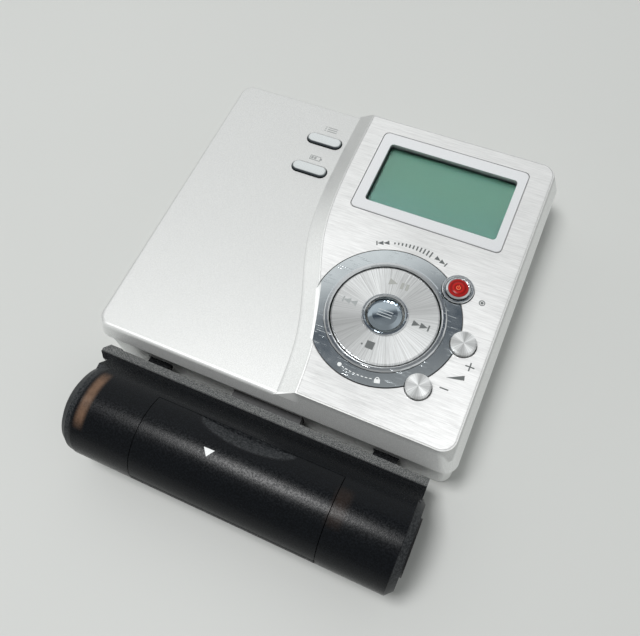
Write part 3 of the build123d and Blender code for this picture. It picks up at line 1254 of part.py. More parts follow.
def end_tab():
    """Bevelled nose on the left end of the flange."""
    x1 = FLANGE_X0 + 0.3
    y0 = (FLANGE_BACK_Y + FLANGE_FRONT_Y) / 2 - TAB_W / 2 - 0.5
    tab = block(x1 - TAB_L - 0.3, x1, y0, y0 + TAB_W, CASE_SEAM_Z - TAB_H, CASE_SEAM_Z)
    corners = tab.edges().filter_by(Axis.Z).group_by(Axis.X)[0]
    return chamfer(corners, TAB_W * 0.38)


def plug_tongues():
    y1 = BASE_FRONT_Y + TONGUE_REACH
    x0, x1 = TONGUE_X - TONGUE_W / 2, TONGUE_X + TONGUE_W / 2
    tongue = block(x0, x1, FLANGE_BACK_Y - 0.2, y1, TONGUE_Z0, TONGUE_Z1)
    tongue = chamfer(tongue.edges().group_by(Axis.Y)[-1], 0.4)
    return both_sides(tongue)


def case_plug():
    half = SOCKET_W / 2 - PLUG_CLEAR
    y1 = BASE_IN_FRONT_Y + SOCKET_DEPTH - SOCKET_WALL - 0.6
    y0 = FLANGE_BACK_Y - CASE_WALL
    plug = block(-half, half, y0, y1, SOCKET_Z0 + PLUG_CLEAR, SOCKET_Z1 - PLUG_CLEAR - 0.2)
    return chamfer(plug.edges().group_by(Axis.Y)[-1], 0.3)


def plug_contacts():
    z1 = SOCKET_Z1 - PLUG_CLEAR - 0.2
    y1 = BASE_IN_FRONT_Y + SOCKET_DEPTH - SOCKET_WALL - 0.9
    strips = []
    for index in range(4):
        x = (index - 1.5) * 3.2
        strips.append(block(x - 0.7, x + 0.7, BASE_FRONT_Y + 0.3, y1, z1, z1 + 0.1))
    return strips


def cell_contact(x0):
    """Contact plate at one end of the cell."""
    return prism_x(CASE_Y, CASE_Z, CELL_R - 0.6, x0, x0 + CONTACT_T - 0.02, 12)


def contact_strap():
    """Copper strap that runs round the inside of the cover beside the cell's end."""
    inner, outer = CASE_R - CASE_WALL - 0.4, CASE_R - CASE_WALL - 0.02
    x0, x1 = STRAP_X - STRAP_W / 2, STRAP_X + STRAP_W / 2
    ring = drum_x(CASE_Y, CASE_Z, outer, x0, x1) - drum_x(CASE_Y, CASE_Z, inner, x0 - 1, x1 + 1)
    steps = 4
    points = [(CASE_Y, CASE_Z)]
    for index in range(steps + 1):
        turn = math.radians(STRAP_ANGLES[0] + (STRAP_ANGLES[1] - STRAP_ANGLES[0]) * index / steps)
        points.append((CASE_Y + 2 * CASE_R * math.cos(turn), CASE_Z + 2 * CASE_R * math.sin(turn)))
    face = Plane.YZ * make_face(Polyline(*points, close=True))
    wedge = extrude(Pos(x0, 0, 0) * face, STRAP_W, dir=(1, 0, 0))
    return ring & wedge


def door_pin():
    return drum_x(DOOR_AXIS_Y, DOOR_AXIS_Z, DOOR_PIN_R, DOOR_X0 - DOOR_PIN_HOLD, DOOR_X1 + DOOR_PIN_HOLD)


def end_disc():
    return prism_x(CASE_Y, CASE_Z, END_DISC_R, CASE_RIGHT_X, CASE_RIGHT_X + END_DISC_T, 40)


# ================================================================ the whole player
def build():
    os.makedirs("parts", exist_ok=True)
    save("lid_shell", lid_shell())
    save("face_plate", face_plate())
    save("lcd_frame", lcd_frame())
    save("lcd_window", lcd_window())
    save("lcd_panel", lcd_panel())
    save("key_ring_plate", key_ring_plate())
    save("dial_lip", dial_lip())
    save("rec_bezel", rec_bezel())
    save("key_board", key_board())
    save("board_screws", *board_screws())
    save("key_domes", *key_domes())
    save("pill_board", pill_board())
    save("disc_holder", disc_holder())
    save("dial_key", dial_key())
    save("dial_hub_ring", dial_hub_ring())
    save("dial_spider", dial_spider())
    save("centre_button", centre_button())
    save("rec_button", rec_button())
    save("volume_up_button", volume_button(VOLUME_UP_ANGLE))
    save("volume_down_button", volume_button(VOLUME_DOWN_ANGLE))
    save("rear_pill_button", pill_button(PILL_REAR_Y))
    save("front_pill_button", pill_button(PILL_FRONT_Y))
    save("base_case", base_case())
    save("hinge_pins", hinge_pins())
    save("base_screws", *base_screws())
    save("battery_cover", battery_cover())
    save("battery_pack", battery_pack())
    save("battery_contacts", *battery_contacts())
    save("main_board", main_board())
    save("board_chips", *board_chips())
    save("headphone_jack", jack(HEADPHONE_Y))
    save("line_in_jack", jack(LINE_Y))
    save("power_jack", power_jack())
    save("case_socket", case_socket())
    save("chassis_plate", chassis_plate())
    save("chassis_dampers", *chassis_dampers())
    save("chassis_screws", *chassis_screws())
    save("spindle_motor", spindle_motor())
    save("turntable", turntable())
    save("guide_rods", *guide_rods())
    save("sled_motor", sled_motor())
    save("lead_screw", lead_screw())
    save("pickup_sled", pickup_sled())
    save("pickup_lens", pickup_lens())
    save("open_slider", open_slider())
    save("case_lower_shell", case_lower_shell())
    save("case_upper_cover", case_upper_cover())
    save("case_door", case_door())
    save("door_pin", door_pin())
    save("case_plug", case_plug())
    save("plug_contacts", *plug_contacts())
    save("negative_contact", cell_contact(CELL_X0 - CONTACT_T))
    save("positive_contact", cell_contact(CELL_X1 + 0.02))
    save("contact_strap", contact_strap())
    save("end_disc", end_disc())


build()
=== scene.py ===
import math

import bmesh
import bpy
from bpy.props import FloatProperty, FloatVectorProperty, IntProperty, PointerProperty
from mathutils import Matrix, Vector
from mathutils.bvhtree import BVHTree


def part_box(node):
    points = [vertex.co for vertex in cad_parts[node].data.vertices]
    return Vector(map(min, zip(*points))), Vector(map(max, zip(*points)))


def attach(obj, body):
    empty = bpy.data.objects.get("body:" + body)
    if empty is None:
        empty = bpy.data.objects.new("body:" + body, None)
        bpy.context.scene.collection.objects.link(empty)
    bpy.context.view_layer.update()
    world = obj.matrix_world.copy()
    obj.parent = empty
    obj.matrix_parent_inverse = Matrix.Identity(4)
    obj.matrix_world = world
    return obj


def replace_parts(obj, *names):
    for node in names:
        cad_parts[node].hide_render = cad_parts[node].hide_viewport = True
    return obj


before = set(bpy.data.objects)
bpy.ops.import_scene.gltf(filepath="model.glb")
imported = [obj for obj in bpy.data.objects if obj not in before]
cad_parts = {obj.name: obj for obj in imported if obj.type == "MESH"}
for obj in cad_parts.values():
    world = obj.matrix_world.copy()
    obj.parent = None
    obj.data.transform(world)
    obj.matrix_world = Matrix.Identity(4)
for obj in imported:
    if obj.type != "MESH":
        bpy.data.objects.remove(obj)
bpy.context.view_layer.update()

bl_info = {
    "name": "Disc player dressing",
    "version": (1, 0, 0),
    "blender": (4, 5, 0),
    "location": "3D View > Sidebar > Disc player",
    "description": "Finishes, printed marks and small hardware of a portable disc player",
    "category": "Object",
}

MM = 0.001
FLOAT = "NodeSocketFloat"

# places on the player, in millimetres
DIAL_CENTRE = (16.61, -13.01)
RING_RADIUS = 14.96
PLATE_MARK_RADIUS = 16.7
RING_MARK_RADIUS = 13.45
CASE_AXIS_Y = -50.3
CASE_AXIS_Z = 9.4
CASE_RADIUS = 9.4
RECORD_RADIUS = 2.3
PILL_HALF_STRAIGHT = 2.7
STRAP_X = -28.7
SPRING_X = 23.0

# where the printed marks stand, in millimetres, and in degrees about the dial's centre
PLAY_AT = (15.6, -5.75)
PAUSE_X = (17.45, 18.5)
PAUSE_Y = -5.85
BACK_AT = (9.1, -12.8)
NEXT_AT = (23.9, -12.65)
STOP_AT = (16.35, -20.1)
STOP_SPOT_AT = (14.8, -20.4)
PLUS_AT = (35.2, -17.0)
MINUS_AT = (32.2, -22.9)
WEDGE_AT = (33.35, -19.9)
RECORD_DOT_AT = (33.1, -3.4)
LIST_ICON_AT = (-12.9, 28.1)
CELL_ICON_AT = (-13.4, 19.85)
DOOR_TRIANGLE = [(-3.77, -50.10), (-2.59, -51.57), (-1.55, -50.05)]
LEVEL_BACK_ANGLE = 113.0
LEVEL_NEXT_ANGLE = 69.0
FIRST_TICK_ANGLE = 104.5
LAST_TICK_ANGLE = 77.5
RING_SPOT_ANGLE = 252.0
RING_DASH_ANGLE = 255.5
RING_DASH_STEP = 3.5
RING_LOCK_ANGLE = 285.5

# bands, in millimetres, over which one finish, or a painted light or shade, turns into the next
WALL_TOP_Z = (14.4, 14.7)
FRONT_WALL_Y = (-34.6, -34.3)
RIGHT_WALL_X = (37.9, 38.2)
LEFT_EDGE_X = (-39.0, -38.2)
REAR_EDGE_Y = (34.9, 35.6)
LOW_HALF_X = (-1.0, 0.0)
EDGE_SHADE_Z = (12.6, 13.4)
SHOULDER_SLOPE = (1.4, 2.7)
SHOULDER_Z = (14.92, 15.1)
SHOULDER_LIGHT_Y = (-10.0, 20.0)
FRAME_BEVEL_Z = (18.21, 18.31)
FRAME_WALL_Z = (17.2, 18.1)
DISPLAY_FOOT_Y = (11.0, 22.0)
DISPLAY_HEAD_Y = (25.8, 28.0)
DISPLAY_SIDE_X = (1.2, 3.0)
PILL_EDGE = (1.12, 1.40)
RECORD_RIM = (2.00, 2.06)
LENS_RIM = (1.1, 1.4)
FLANGE_Y = (-39.4, -39.0)
FLANGE_Z = (9.5, 10.4)
SCOOP_DEPTH = (CASE_RADIUS - 0.16, CASE_RADIUS - 0.06)

# middle line of the shoulder between the lid's two halves: x = MIDDLE_X + SWING tanh((MIDDLE_Y - y) / REACH)
SHOULDER_MIDDLE_X = -0.44
SHOULDER_SWING = 5.94
SHOULDER_MIDDLE_Y = -10.6
SHOULDER_REACH = 14.5

# the view of the player: where the lens stands and how it is turned
EYE = (0.03580, -0.06736, 0.13603)
EYE_RIGHT = (0.91104759, 0.40658275, -0.0684307)
EYE_DOWN = (0.33929447, -0.83362514, -0.43583069)
EYE_FORWARD = (-0.23424679, 0.37384434, -0.89742345)
FOCAL_LENGTH = 37.56

# light: the lamp's place and aim, the level way from the viewer past the player, and the sky's dark spot
LAMP_PLACE = (-0.180, -0.108, 0.873)
LAMP_AIM = (0.0, -0.01, 0.0)
WAY_PAST = (-0.531, 0.847, 0.0)
DARK_SPOT = (-0.15, 0.36, 0.92)
SPOT_OUTER = math.radians(24.0)
SPOT_INNER = math.radians(9.0)
FLOOR_HALF = 1.6

BLACK_EDGE = (0.02, 0.02, 0.022)


# ================================================================ settings shown in the sidebar
def colour_setting(label, text, default):
    return FloatVectorProperty(
        name=label, description=text, default=default, size=3, min=0.0, max=1.0, subtype="COLOR"
    )


def length_setting(label, text, default):
    return FloatProperty(
        name=label, description=text, default=default, min=0.0, precision=5,
        unit="LENGTH", subtype="DISTANCE",
    )


def level_setting(label, text, default, unit="NONE"):
    return FloatProperty(name=label, description=text, default=default, min=0.0, unit=unit)


class PlayerStageSettings(bpy.types.PropertyGroup):
    floor_colour: colour_setting("Floor", "Colour of the table under the player", (0.575, 0.585, 0.57))
    sky_back: level_setting("Bright side", "Level of the sky behind the player", 0.81)
    sky_front: level_setting("Dim side", "Level of the sky elsewhere", 0.35)
    sky_dark: level_setting("Dark spot", "Level of the dark spot overhead that polished metal mirrors", 0.03)
    lamp_power: level_setting("Lamp", "Power of the soft lamp", 5.1, "POWER")
    lamp_size: length_setting("Lamp size", "Width of the soft lamp", 0.25)


class PlayerBodySettings(bpy.types.PropertyGroup):
    paint: colour_setting("Paint", "Silver paint of the lid and base", (0.665, 0.672, 0.665))
    plate: colour_setting("Plate", "Brushed face plate", (0.765, 0.768, 0.765))
    frame_colour: colour_setting("Display frame", "Satin frame round the display", (0.77, 0.78, 0.795))
    display: colour_setting("Display", "Unlit display", (0.047, 0.127, 0.090))
    chrome: colour_setting("Chrome", "Key ring round the dial", (0.77, 0.82, 0.85))
    spun: colour_setting("Spun metal", "Dial and volume keys", (0.90, 0.915, 0.915))
    record: colour_setting("Record key", "Red key", (0.47, 0.010, 0.008))
    ink: colour_setting("Dark ink", "Printed symbols", (0.11, 0.12, 0.12))
    light_ink: colour_setting("Grey ink", "Fainter printed symbols", (0.33, 0.35, 0.35))


class PlayerCaseSettings(bpy.types.PropertyGroup):
    smoke: colour_setting("Smoke plastic", "Cell case", (0.0020, 0.0026, 0.0036))
    glow: colour_setting("Strap seen through", "Tint where the copper strap shows", (0.21, 0.125, 0.08))
    ink: colour_setting("White ink", "Mark on the case and on the ring", (0.78, 0.80, 0.80))


class PlayerHardwareSettings(bpy.types.PropertyGroup):
    thread_pitch: length_setting("Thread pitch", "Pitch of the lead screw", 0.0015)
    recess_width: length_setting("Recess width", "Width of one slot of a screw's cross", 0.00032)
    tick_count: IntProperty(
        name="Level marks", description="Marks between the skip symbols", default=11, min=2)


# ================================================================ node helpers
class Graph:
    """A node tree with short calls that add nodes and join them."""

    def __init__(self, tree):
        self.tree = tree

    def add(self, kind, inputs=None, **settings):
        node = self.tree.nodes.new(kind)
        for name, value in settings.items():
            setattr(node, name, value)
        for key, value in (inputs or {}).items():
            self.feed(node.inputs[key], value)
        return node

    def feed(self, socket, value):
        if isinstance(value, bpy.types.NodeSocket):
            self.tree.links.new(value, socket)
        else:
            socket.default_value = value

    def calc(self, operation, a, b=0.0, clamp=False):
        return self.add("ShaderNodeMath", {0: a, 1: b}, operation=operation, use_clamp=clamp).outputs[0]

    def times(self, a, b, clamp=False):
        return self.calc("MULTIPLY", a, b, clamp)

    def plus(self, a, b, clamp=False):
        return self.calc("ADD", a, b, clamp)

    def less(self, a, b, clamp=False):
        return self.calc("SUBTRACT", a, b, clamp)

    def larger(self, a, b):
        return self.calc("MAXIMUM", a, b)

    def size(self, a):
        return self.calc("ABSOLUTE", a)

    def spread(self, value, low, high, to_low=0.0, to_high=1.0, smooth=False):
        inputs = {"Value": value, "From Min": low, "From Max": high, "To Min": to_low, "To Max": to_high}
        kind = "SMOOTHSTEP" if smooth else "LINEAR"
        return self.add("ShaderNodeMapRange", inputs, interpolation_type=kind).outputs[0]

    def turn_over(self, value, band, before, after, smooth=False):
        """One value before a band of places, given in millimetres, and another past it."""
        return self.spread(value, band[0] * MM, band[1] * MM, before, after, smooth)

    def rise(self, value, band, high=1.0, smooth=False):
        return self.turn_over(value, band, 0.0, high, smooth)

    def fall(self, value, band, high=1.0, smooth=False):
        return self.turn_over(value, band, high, 0.0, smooth)

    def blend(self, share, first, second, blend_type="MIX"):
        inputs = {0: share, 6: first, 7: second}
        return self.add("ShaderNodeMix", inputs, data_type="RGBA", blend_type=blend_type).outputs[2]

    def shaded(self, tone, level):
        """A tone times a level that changes over the surface."""
        return self.blend(1.0, tone, self.join(level, level, level), "MULTIPLY")

    def noise(self, vector, scale, detail=2.0, roughness=0.5):
        inputs = {"Vector": vector, "Scale": scale, "Detail": detail, "Roughness": roughness}
        return self.add("ShaderNodeTexNoise", inputs).outputs[0]

    def mapped(self, vector, location=(0, 0, 0), scale=(1, 1, 1), rotation=(0, 0, 0)):
        inputs = {"Vector": vector, "Location": location, "Scale": scale, "Rotation": rotation}
        return self.add("ShaderNodeMapping", inputs).outputs[0]

    def centred(self, vector, centre):
        """Coordinates about an upright axis through a place given in millimetres."""
        return self.mapped(vector, location=(-centre[0] * MM, -centre[1] * MM, 0.0))

    def split(self, vector):
        return self.add("ShaderNodeSeparateXYZ", {0: vector}).outputs

    def join(self, x, y, z):
        return self.add("ShaderNodeCombineXYZ", {0: x, 1: y, 2: z}).outputs[0]

    def vector_calc(self, operation, a, output="Value", b=None):
        inputs = {0: a} if b is None else {0: a, 1: b}
        return self.add("ShaderNodeVectorMath", inputs, operation=operation).outputs[output]

    def reach(self, x, y):
        """Length of a flat vector."""
        return self.vector_calc("LENGTH", self.join(x, y, 0.0))

    def distance_from(self, vector, centre):
        """Distance from an upright axis through a place given in millimetres."""
        return self.reach(*self.split(self.centred(vector, centre))[:2])

    def bump(self, height, distance, strength=1.0, normal=None):
        inputs = {"Height": height, "Distance": distance, "Strength": strength}
        if normal is not None:
            inputs["Normal"] = normal
        return self.add("ShaderNodeBump", inputs).outputs[0]

    def domed(self, distance, radius, normal=None):
        """The normal of a flat top that is shaded as a dome of the given radius, in millimetres."""
        swell = self.calc("DIVIDE", self.times(distance, distance), -2.0 * radius * MM)
        return self.bump(swell, 1.0, 1.0, normal)

    def effect(self, name, vector, inputs=None):
        """A shader node group, built the first time it is asked for, with this material's own values."""
        tree = bpy.data.node_groups.get(name)
        if tree is None:
            build, defaults, outputs = EFFECTS[name]
            tree = bpy.data.node_groups.new(name, "ShaderNodeTree")
            tree.interface.new_socket("Vector", in_out="INPUT", socket_type="NodeSocketVector")
            for label, default in defaults.items():
                socket = tree.interface.new_socket(label, in_out="INPUT", socket_type=FLOAT)
                socket.default_value = default
            for label, kind in outputs.items():
                tree.interface.new_socket(label, in_out="OUTPUT", socket_type=kind)
            inner = Graph(tree)
            inner.add("NodeGroupOutput", build(inner, inner.add("NodeGroupInput").outputs))
        return self.add("ShaderNodeGroup", {"Vector": vector, **(inputs or {})}, node_tree=tree).outputs


class Finish(Graph):
    """A fresh material with its shader, and the object coordinates that its patterns read."""

    def __init__(self, name, metallic=0.0, roughness=0.5, coat=0.0, coat_roughness=0.05, ior=1.5):
        self.material = bpy.data.materials.new(name)
        self.material.use_nodes = True
        super().__init__(self.material.node_tree)
        self.tree.nodes.clear()
        self.shader = self.add("ShaderNodeBsdfPrincipled")
        self.output = self.add("ShaderNodeOutputMaterial", {"Surface": self.shader.outputs["BSDF"]})
        self.place = self.add("ShaderNodeTexCoord").outputs["Object"]
        self.wear({
            "Metallic": metallic, "Roughness": roughness, "Coat Weight": coat,
            "Coat Roughness": coat_roughness, "IOR": ior,
        })

    def wear(self, inputs):
        """Feeds the shader and gives back the material."""
        for name, value in inputs.items():
            self.feed(self.shader.inputs[name], value)
        return self.material

    def grit(self, scale):
        return self.effect("fine_speckle", self.place, {"Scale": scale})

    def handled(self):
        return self.effect("handling_marks", self.place)


def rgba(colour, share=1.0):
    return tuple(channel * share for channel in tuple(colour)[:3]) + (1.0,)


def speckle_nodes(graph, given):
    """Fine grit with a coarser drift."""
    fine = graph.noise(given["Vector"], given["Scale"], detail=3.0, roughness=0.65)
    coarse = graph.noise(given["Vector"], graph.times(given["Scale"], 0.31), detail=1.0)
    return {
        "Mask": graph.spread(fine, 0.42, 0.62),
        "Height": graph.plus(graph.times(fine, 0.7), graph.times(coarse, 0.3)),
        "Drift": coarse,
    }


def grain_nodes(graph, given):
    """Long, thin brush strokes along X."""
    long_way = graph.mapped(given["Vector"], scale=(260.0, 5200.0, 2600.0))
    strokes = graph.noise(long_way, 1.0, detail=3.0, roughness=0.7)
    wide_way = graph.mapped(given["Vector"], location=(3.1, 7.7, 1.0), scale=(90.0, 1700.0, 640.0))
    bands = graph.noise(wide_way, 1.0, detail=2.0, roughness=0.6)
    return {"Strokes": graph.spread(strokes, 0.3, 0.7), "Bands": graph.spread(bands, 0.32, 0.68)}


def spun_nodes(graph, given):
    """Turned grooves about the vector's own Z axis, and the streaks and sectors of light that they throw."""
    x, y = graph.split(given["Vector"])[:2]
    flat = graph.join(x, y, 0.0)
    radius = graph.vector_calc("LENGTH", flat)
    ax, ay = graph.split(graph.vector_calc("NORMALIZE", flat, "Vector"))[:2]
    narrow = graph.noise(
        graph.join(ax, ay, graph.times(radius, 2.0)), given["Streaks"], detail=4.0, roughness=0.8)
    broad = graph.noise(graph.join(ax, ay, 0.3), 3.1, detail=1.0)
    turn = graph.less(graph.calc("ARCTAN2", ay, ax), given["Bright Angle"])
    lobes = graph.spread(graph.calc("COSINE", graph.times(turn, given["Lobes"])), -1.0, 1.0)
    return {
        "Streaks": graph.spread(narrow, 0.36, 0.64),
        "Sectors": graph.plus(graph.times(lobes, 0.75), graph.times(broad, 0.35), True),
        "Grooves": graph.noise(graph.join(graph.times(radius, given["Rings"]), 0.0, 0.0), 1.0, detail=2.0),
        "Around": graph.join(graph.times(ay, -1.0), ax, 0.0),
    }


def handling_nodes(graph, given):
    """Hair scratches and faint finger smudges."""
    first = graph.mapped(given["Vector"], rotation=(0.0, 0.0, 0.9), scale=(120.0, 4200.0, 900.0))
    second = graph.mapped(given["Vector"], rotation=(0.0, 0.0, -0.6), scale=(150.0, 5200.0, 900.0))
    both = graph.larger(
        graph.spread(graph.noise(first, 1.0, detail=1.0), 0.66, 0.72),
        graph.spread(graph.noise(second, 1.0, detail=1.0), 0.67, 0.73))
    worn = graph.spread(graph.noise(given["Vector"], 420.0, detail=1.0), 0.42, 0.6)
    smudge = graph.noise(given["Vector"], 190.0, detail=4.0, roughness=0.6)
    return {"Scratches": graph.times(both, worn), "Smudges": graph.spread(smudge, 0.4, 0.7)}


# each shared effect: what lays its nodes, its values beside the vector, and what it puts out
EFFECTS = {
    "fine_speckle": (speckle_nodes, {"Scale": 4000.0}, {"Mask": FLOAT, "Height": FLOAT, "Drift": FLOAT}),
    "brushed_grain": (grain_nodes, {}, {"Strokes": FLOAT, "Bands": FLOAT}),
    "spun_grain": (
        spun_nodes, {"Streaks": 30.0, "Rings": 9000.0, "Bright Angle": 0.0, "Lobes": 2.0},
        {"Streaks": FLOAT, "Sectors": FLOAT, "Grooves": FLOAT, "Around": "NodeSocketVector"},
    ),
    "handling_marks": (handling_nodes, {}, {"Scratches": FLOAT, "Smudges": FLOAT}),
}


def put_on(material, *nodes):
    """Gives CAD nodes a finish without touching their meshes."""
    for name in nodes:
        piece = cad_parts[name]
        for slot in piece.material_slots:
            slot.link = "OBJECT"
            slot.material = material
        if not piece.material_slots:
            raise RuntimeError(name + " has no material slot")


# ================================================================ finishes
def silver_paint(colour):
    """Silver paint: fine bright flakes in a grey ground. Painted light makes it brighter on the walls and the
    front of the shoulder, and painted shade darkens it along the lid's left and rear edges."""
    paint = Finish("silver_paint", metallic=0.42, roughness=0.48)
    flake = paint.grit(6500.0)
    broad = paint.noise(paint.place, 60.0, detail=2.0)
    tone = paint.blend(flake["Mask"], rgba(colour, 0.86), rgba(colour, 1.09))
    tone = paint.blend(paint.spread(broad, 0.3, 0.7, 0.0, 0.10), tone, rgba(colour, 0.86))
    x, y, z = paint.split(paint.place)
    # painted light: the walls, below the top edge and down the front and right, are painted brighter
    wall_light = paint.larger(paint.fall(z, WALL_TOP_Z), paint.fall(y, FRONT_WALL_Y))
    wall_light = paint.larger(wall_light, paint.rise(x, RIGHT_WALL_X))
    tone = paint.blend(wall_light, tone, paint.blend(flake["Mask"], rgba(colour, 1.18), rgba(colour, 1.46)))
    # painted shade: darker on the upper part of the lid's left and rear edges
    rear_edge = paint.times(paint.rise(y, REAR_EDGE_Y), paint.fall(x, LOW_HALF_X))
    edge_shade = paint.times(paint.larger(paint.fall(x, LEFT_EDGE_X), rear_edge), paint.rise(z, EDGE_SHADE_Z))
    tone = paint.blend(paint.times(edge_shade, 0.65), tone, rgba(colour, 0.45))
    along = paint.calc("DIVIDE", paint.less(SHOULDER_MIDDLE_Y * MM, y), SHOULDER_REACH * MM)
    curve = {0: paint.calc("TANH", along), 1: SHOULDER_SWING * MM, 2: SHOULDER_MIDDLE_X * MM}
    middle = paint.add("ShaderNodeMath", curve, operation="MULTIPLY_ADD").outputs[0]
    slope = paint.fall(paint.size(paint.less(x, middle)), SHOULDER_SLOPE, smooth=True)
    # painted light on the shoulder's slope: brighter towards its front, darker towards its rear
    shoulder_light = paint.turn_over(y, SHOULDER_LIGHT_Y, 1.42, 0.80, smooth=True)
    shoulder = paint.times(slope, paint.rise(z, SHOULDER_Z))
    return paint.wear({
        "Base Color": paint.blend(shoulder, tone, paint.shaded(tone, shoulder_light)),
        "Roughness": paint.spread(flake["Height"], 0.3, 0.7, 0.42, 0.54),
        "Normal": paint.bump(flake["Height"], 0.000014, 0.5),
    })


def brushed_plate(colour):
    """Aluminium brushed from side to side: short bright and dark strokes of many lengths."""
    metal = Finish("brushed_plate", metallic=0.32, roughness=0.38)
    brush = metal.effect("brushed_grain", metal.place)
    tone = metal.blend(brush["Strokes"], rgba(colour, 0.82), rgba(colour, 1.06))
    return metal.wear({
        "Base Color": metal.blend(metal.times(brush["Bands"], 0.28), tone, rgba(colour, 1.14)),
        "Roughness": metal.spread(brush["Strokes"], 0.0, 1.0, 0.30, 0.44),
        "Normal": metal.bump(brush["Strokes"], 0.000008, 0.8),
        "Anisotropic": 0.5,
    })


def satin_frame(colour):
    """Satin metal paint, with a painted shadow line in the fine outer bevel and painted shade down the inner
    walls.
    """
    satin = Finish("satin_frame", metallic=0.35, roughness=0.30, coat=0.15)
    grit = satin.grit(12000.0)
    z = satin.split(satin.place)[2]
    tone = satin.blend(grit["Mask"], rgba(colour, 0.95), rgba(colour, 1.05))
    # painted shadow: a darker line in the fine outer bevel
    tone = satin.blend(satin.fall(z, FRAME_BEVEL_Z, 0.55), tone, rgba(colour, 0.30))
    return satin.wear({
        # painted shade: dark down the inner walls
        "Base Color": satin.blend(satin.fall(z, FRAME_WALL_Z), tone, (0.012, 0.020, 0.022, 1.0)),
        "Normal": satin.bump(grit["Height"], 0.000004, 0.5),
    })


def display_green(colour):
    """Unlit display: green with a bluer foot, a fine grid of cells, and painted shadow along its top and left
    edges under the frame.
    """
    display = Finish("display_green", roughness=0.35, coat=0.2)
    x, y = display.split(display.place)[:2]
    across, along = (display.size(display.calc("SINE", display.times(way, 3600.0))) for way in (x, y))
    cells = display.spread(display.calc("MINIMUM", across, along), 0.0, 0.22, 0.95, 1.0)
    drift = display.noise(display.mapped(display.place, scale=(60.0, 90.0, 1.0)), 1.0, detail=1.0)
    foot = display.fall(y, DISPLAY_FOOT_Y, smooth=True)
    cool = (colour[0] * 0.92, colour[1] * 0.98, colour[2] * 1.22, 1.0)
    tone = display.blend(display.times(display.plus(foot, drift), 0.55, clamp=True), rgba(colour), cool)
    # painted shadow under the frame: darker along the top edge and, more faintly, the left edge
    top = display.turn_over(y, DISPLAY_HEAD_Y, 1.0, 0.22, smooth=True)
    side = display.turn_over(x, DISPLAY_SIDE_X, 0.55, 1.0, smooth=True)
    return display.wear({"Base Color": display.shaded(tone, display.times(cells, display.times(top, side)))})


def clear_window():
    """A clear, slightly scuffed sheet; light of the lamps reaches the display through it."""
    sheet = Finish("clear_window", roughness=0.02, ior=1.45)
    sheet.wear({
        "Transmission Weight": 1.0, "Base Color": (0.93, 0.97, 0.95, 1.0),
        "Roughness": sheet.spread(sheet.handled()["Smudges"], 0.0, 1.0, 0.01, 0.05),
    })
    clear = sheet.add("ShaderNodeBsdfTransparent", {"Color": (0.92, 0.97, 0.94, 1.0)}).outputs[0]
    shadow = sheet.add("ShaderNodeLightPath").outputs["Is Shadow Ray"]
    both = sheet.add("ShaderNodeMixShader", {0: shadow, 1: sheet.shader.outputs[0], 2: clear})
    sheet.feed(sheet.output.inputs["Surface"], both.outputs[0])
    return sheet.material


def mirror_chrome(name, colour, roughness, scuffs, dome=None, edge=None):
    """Polished metal with hair scratches. A dome (centre, radius of curvature) rounds a flat top's shading;
    an edge (centre, radius) darkens what lies beyond that radius, like the shadow in a fine gap."""
    chrome = Finish(name, metallic=1.0, roughness=roughness)
    marks = chrome.handled()
    scratched = chrome.times(marks["Scratches"], scuffs, clamp=True)
    tone = chrome.blend(chrome.times(marks["Smudges"], 0.12), rgba(colour), rgba(colour, 0.9))
    tone = chrome.blend(scratched, tone, rgba(colour, 1.25))
    rough = chrome.spread(marks["Smudges"], 0.0, 1.0, roughness, roughness + 0.05)
    normal = chrome.bump(marks["Scratches"], 0.00001, 0.6)
    if edge is not None:
        # painted shade past the radius, as the shadow in a fine gap
        beyond = chrome.rise(chrome.distance_from(chrome.place, edge[0]), (edge[1], edge[1] + 0.04))
        tone = chrome.blend(beyond, tone, rgba(colour, 0.03))
    if dome is not None:
        normal = chrome.domed(chrome.distance_from(chrome.place, dome[0]), dome[1], normal)
    return chrome.wear({
        "Base Color": tone,
        "Roughness": chrome.plus(rough, chrome.times(scratched, 0.35)),
        "Normal": normal,
    })


def pill_chrome(name, centre):
    """Polished pill key: bright on top, with painted shade dark round its edge and mostly along its front."""
    chrome = Finish(name, metallic=1.0, roughness=0.18)
    x, y = chrome.split(chrome.centred(chrome.place, (centre[0], centre[1] + 0.10)))[:2]
    past = chrome.larger(chrome.less(chrome.size(x), PILL_HALF_STRAIGHT * MM), 0.0)
    smudged = chrome.times(chrome.handled()["Smudges"], 0.15)
    tone = chrome.blend(smudged, (0.84, 0.87, 0.88, 1.0), (0.72, 0.75, 0.76, 1.0))
    # painted shade round the key's edge, its centre moved back so that the shade lies mostly along the front
    edge = chrome.rise(chrome.reach(past, y), PILL_EDGE, smooth=True)
    return chrome.wear({
        "Base Color": chrome.blend(edge, tone, (0.10, 0.12, 0.13, 1.0)),
        "Normal": chrome.domed(y, 17.0),
    })


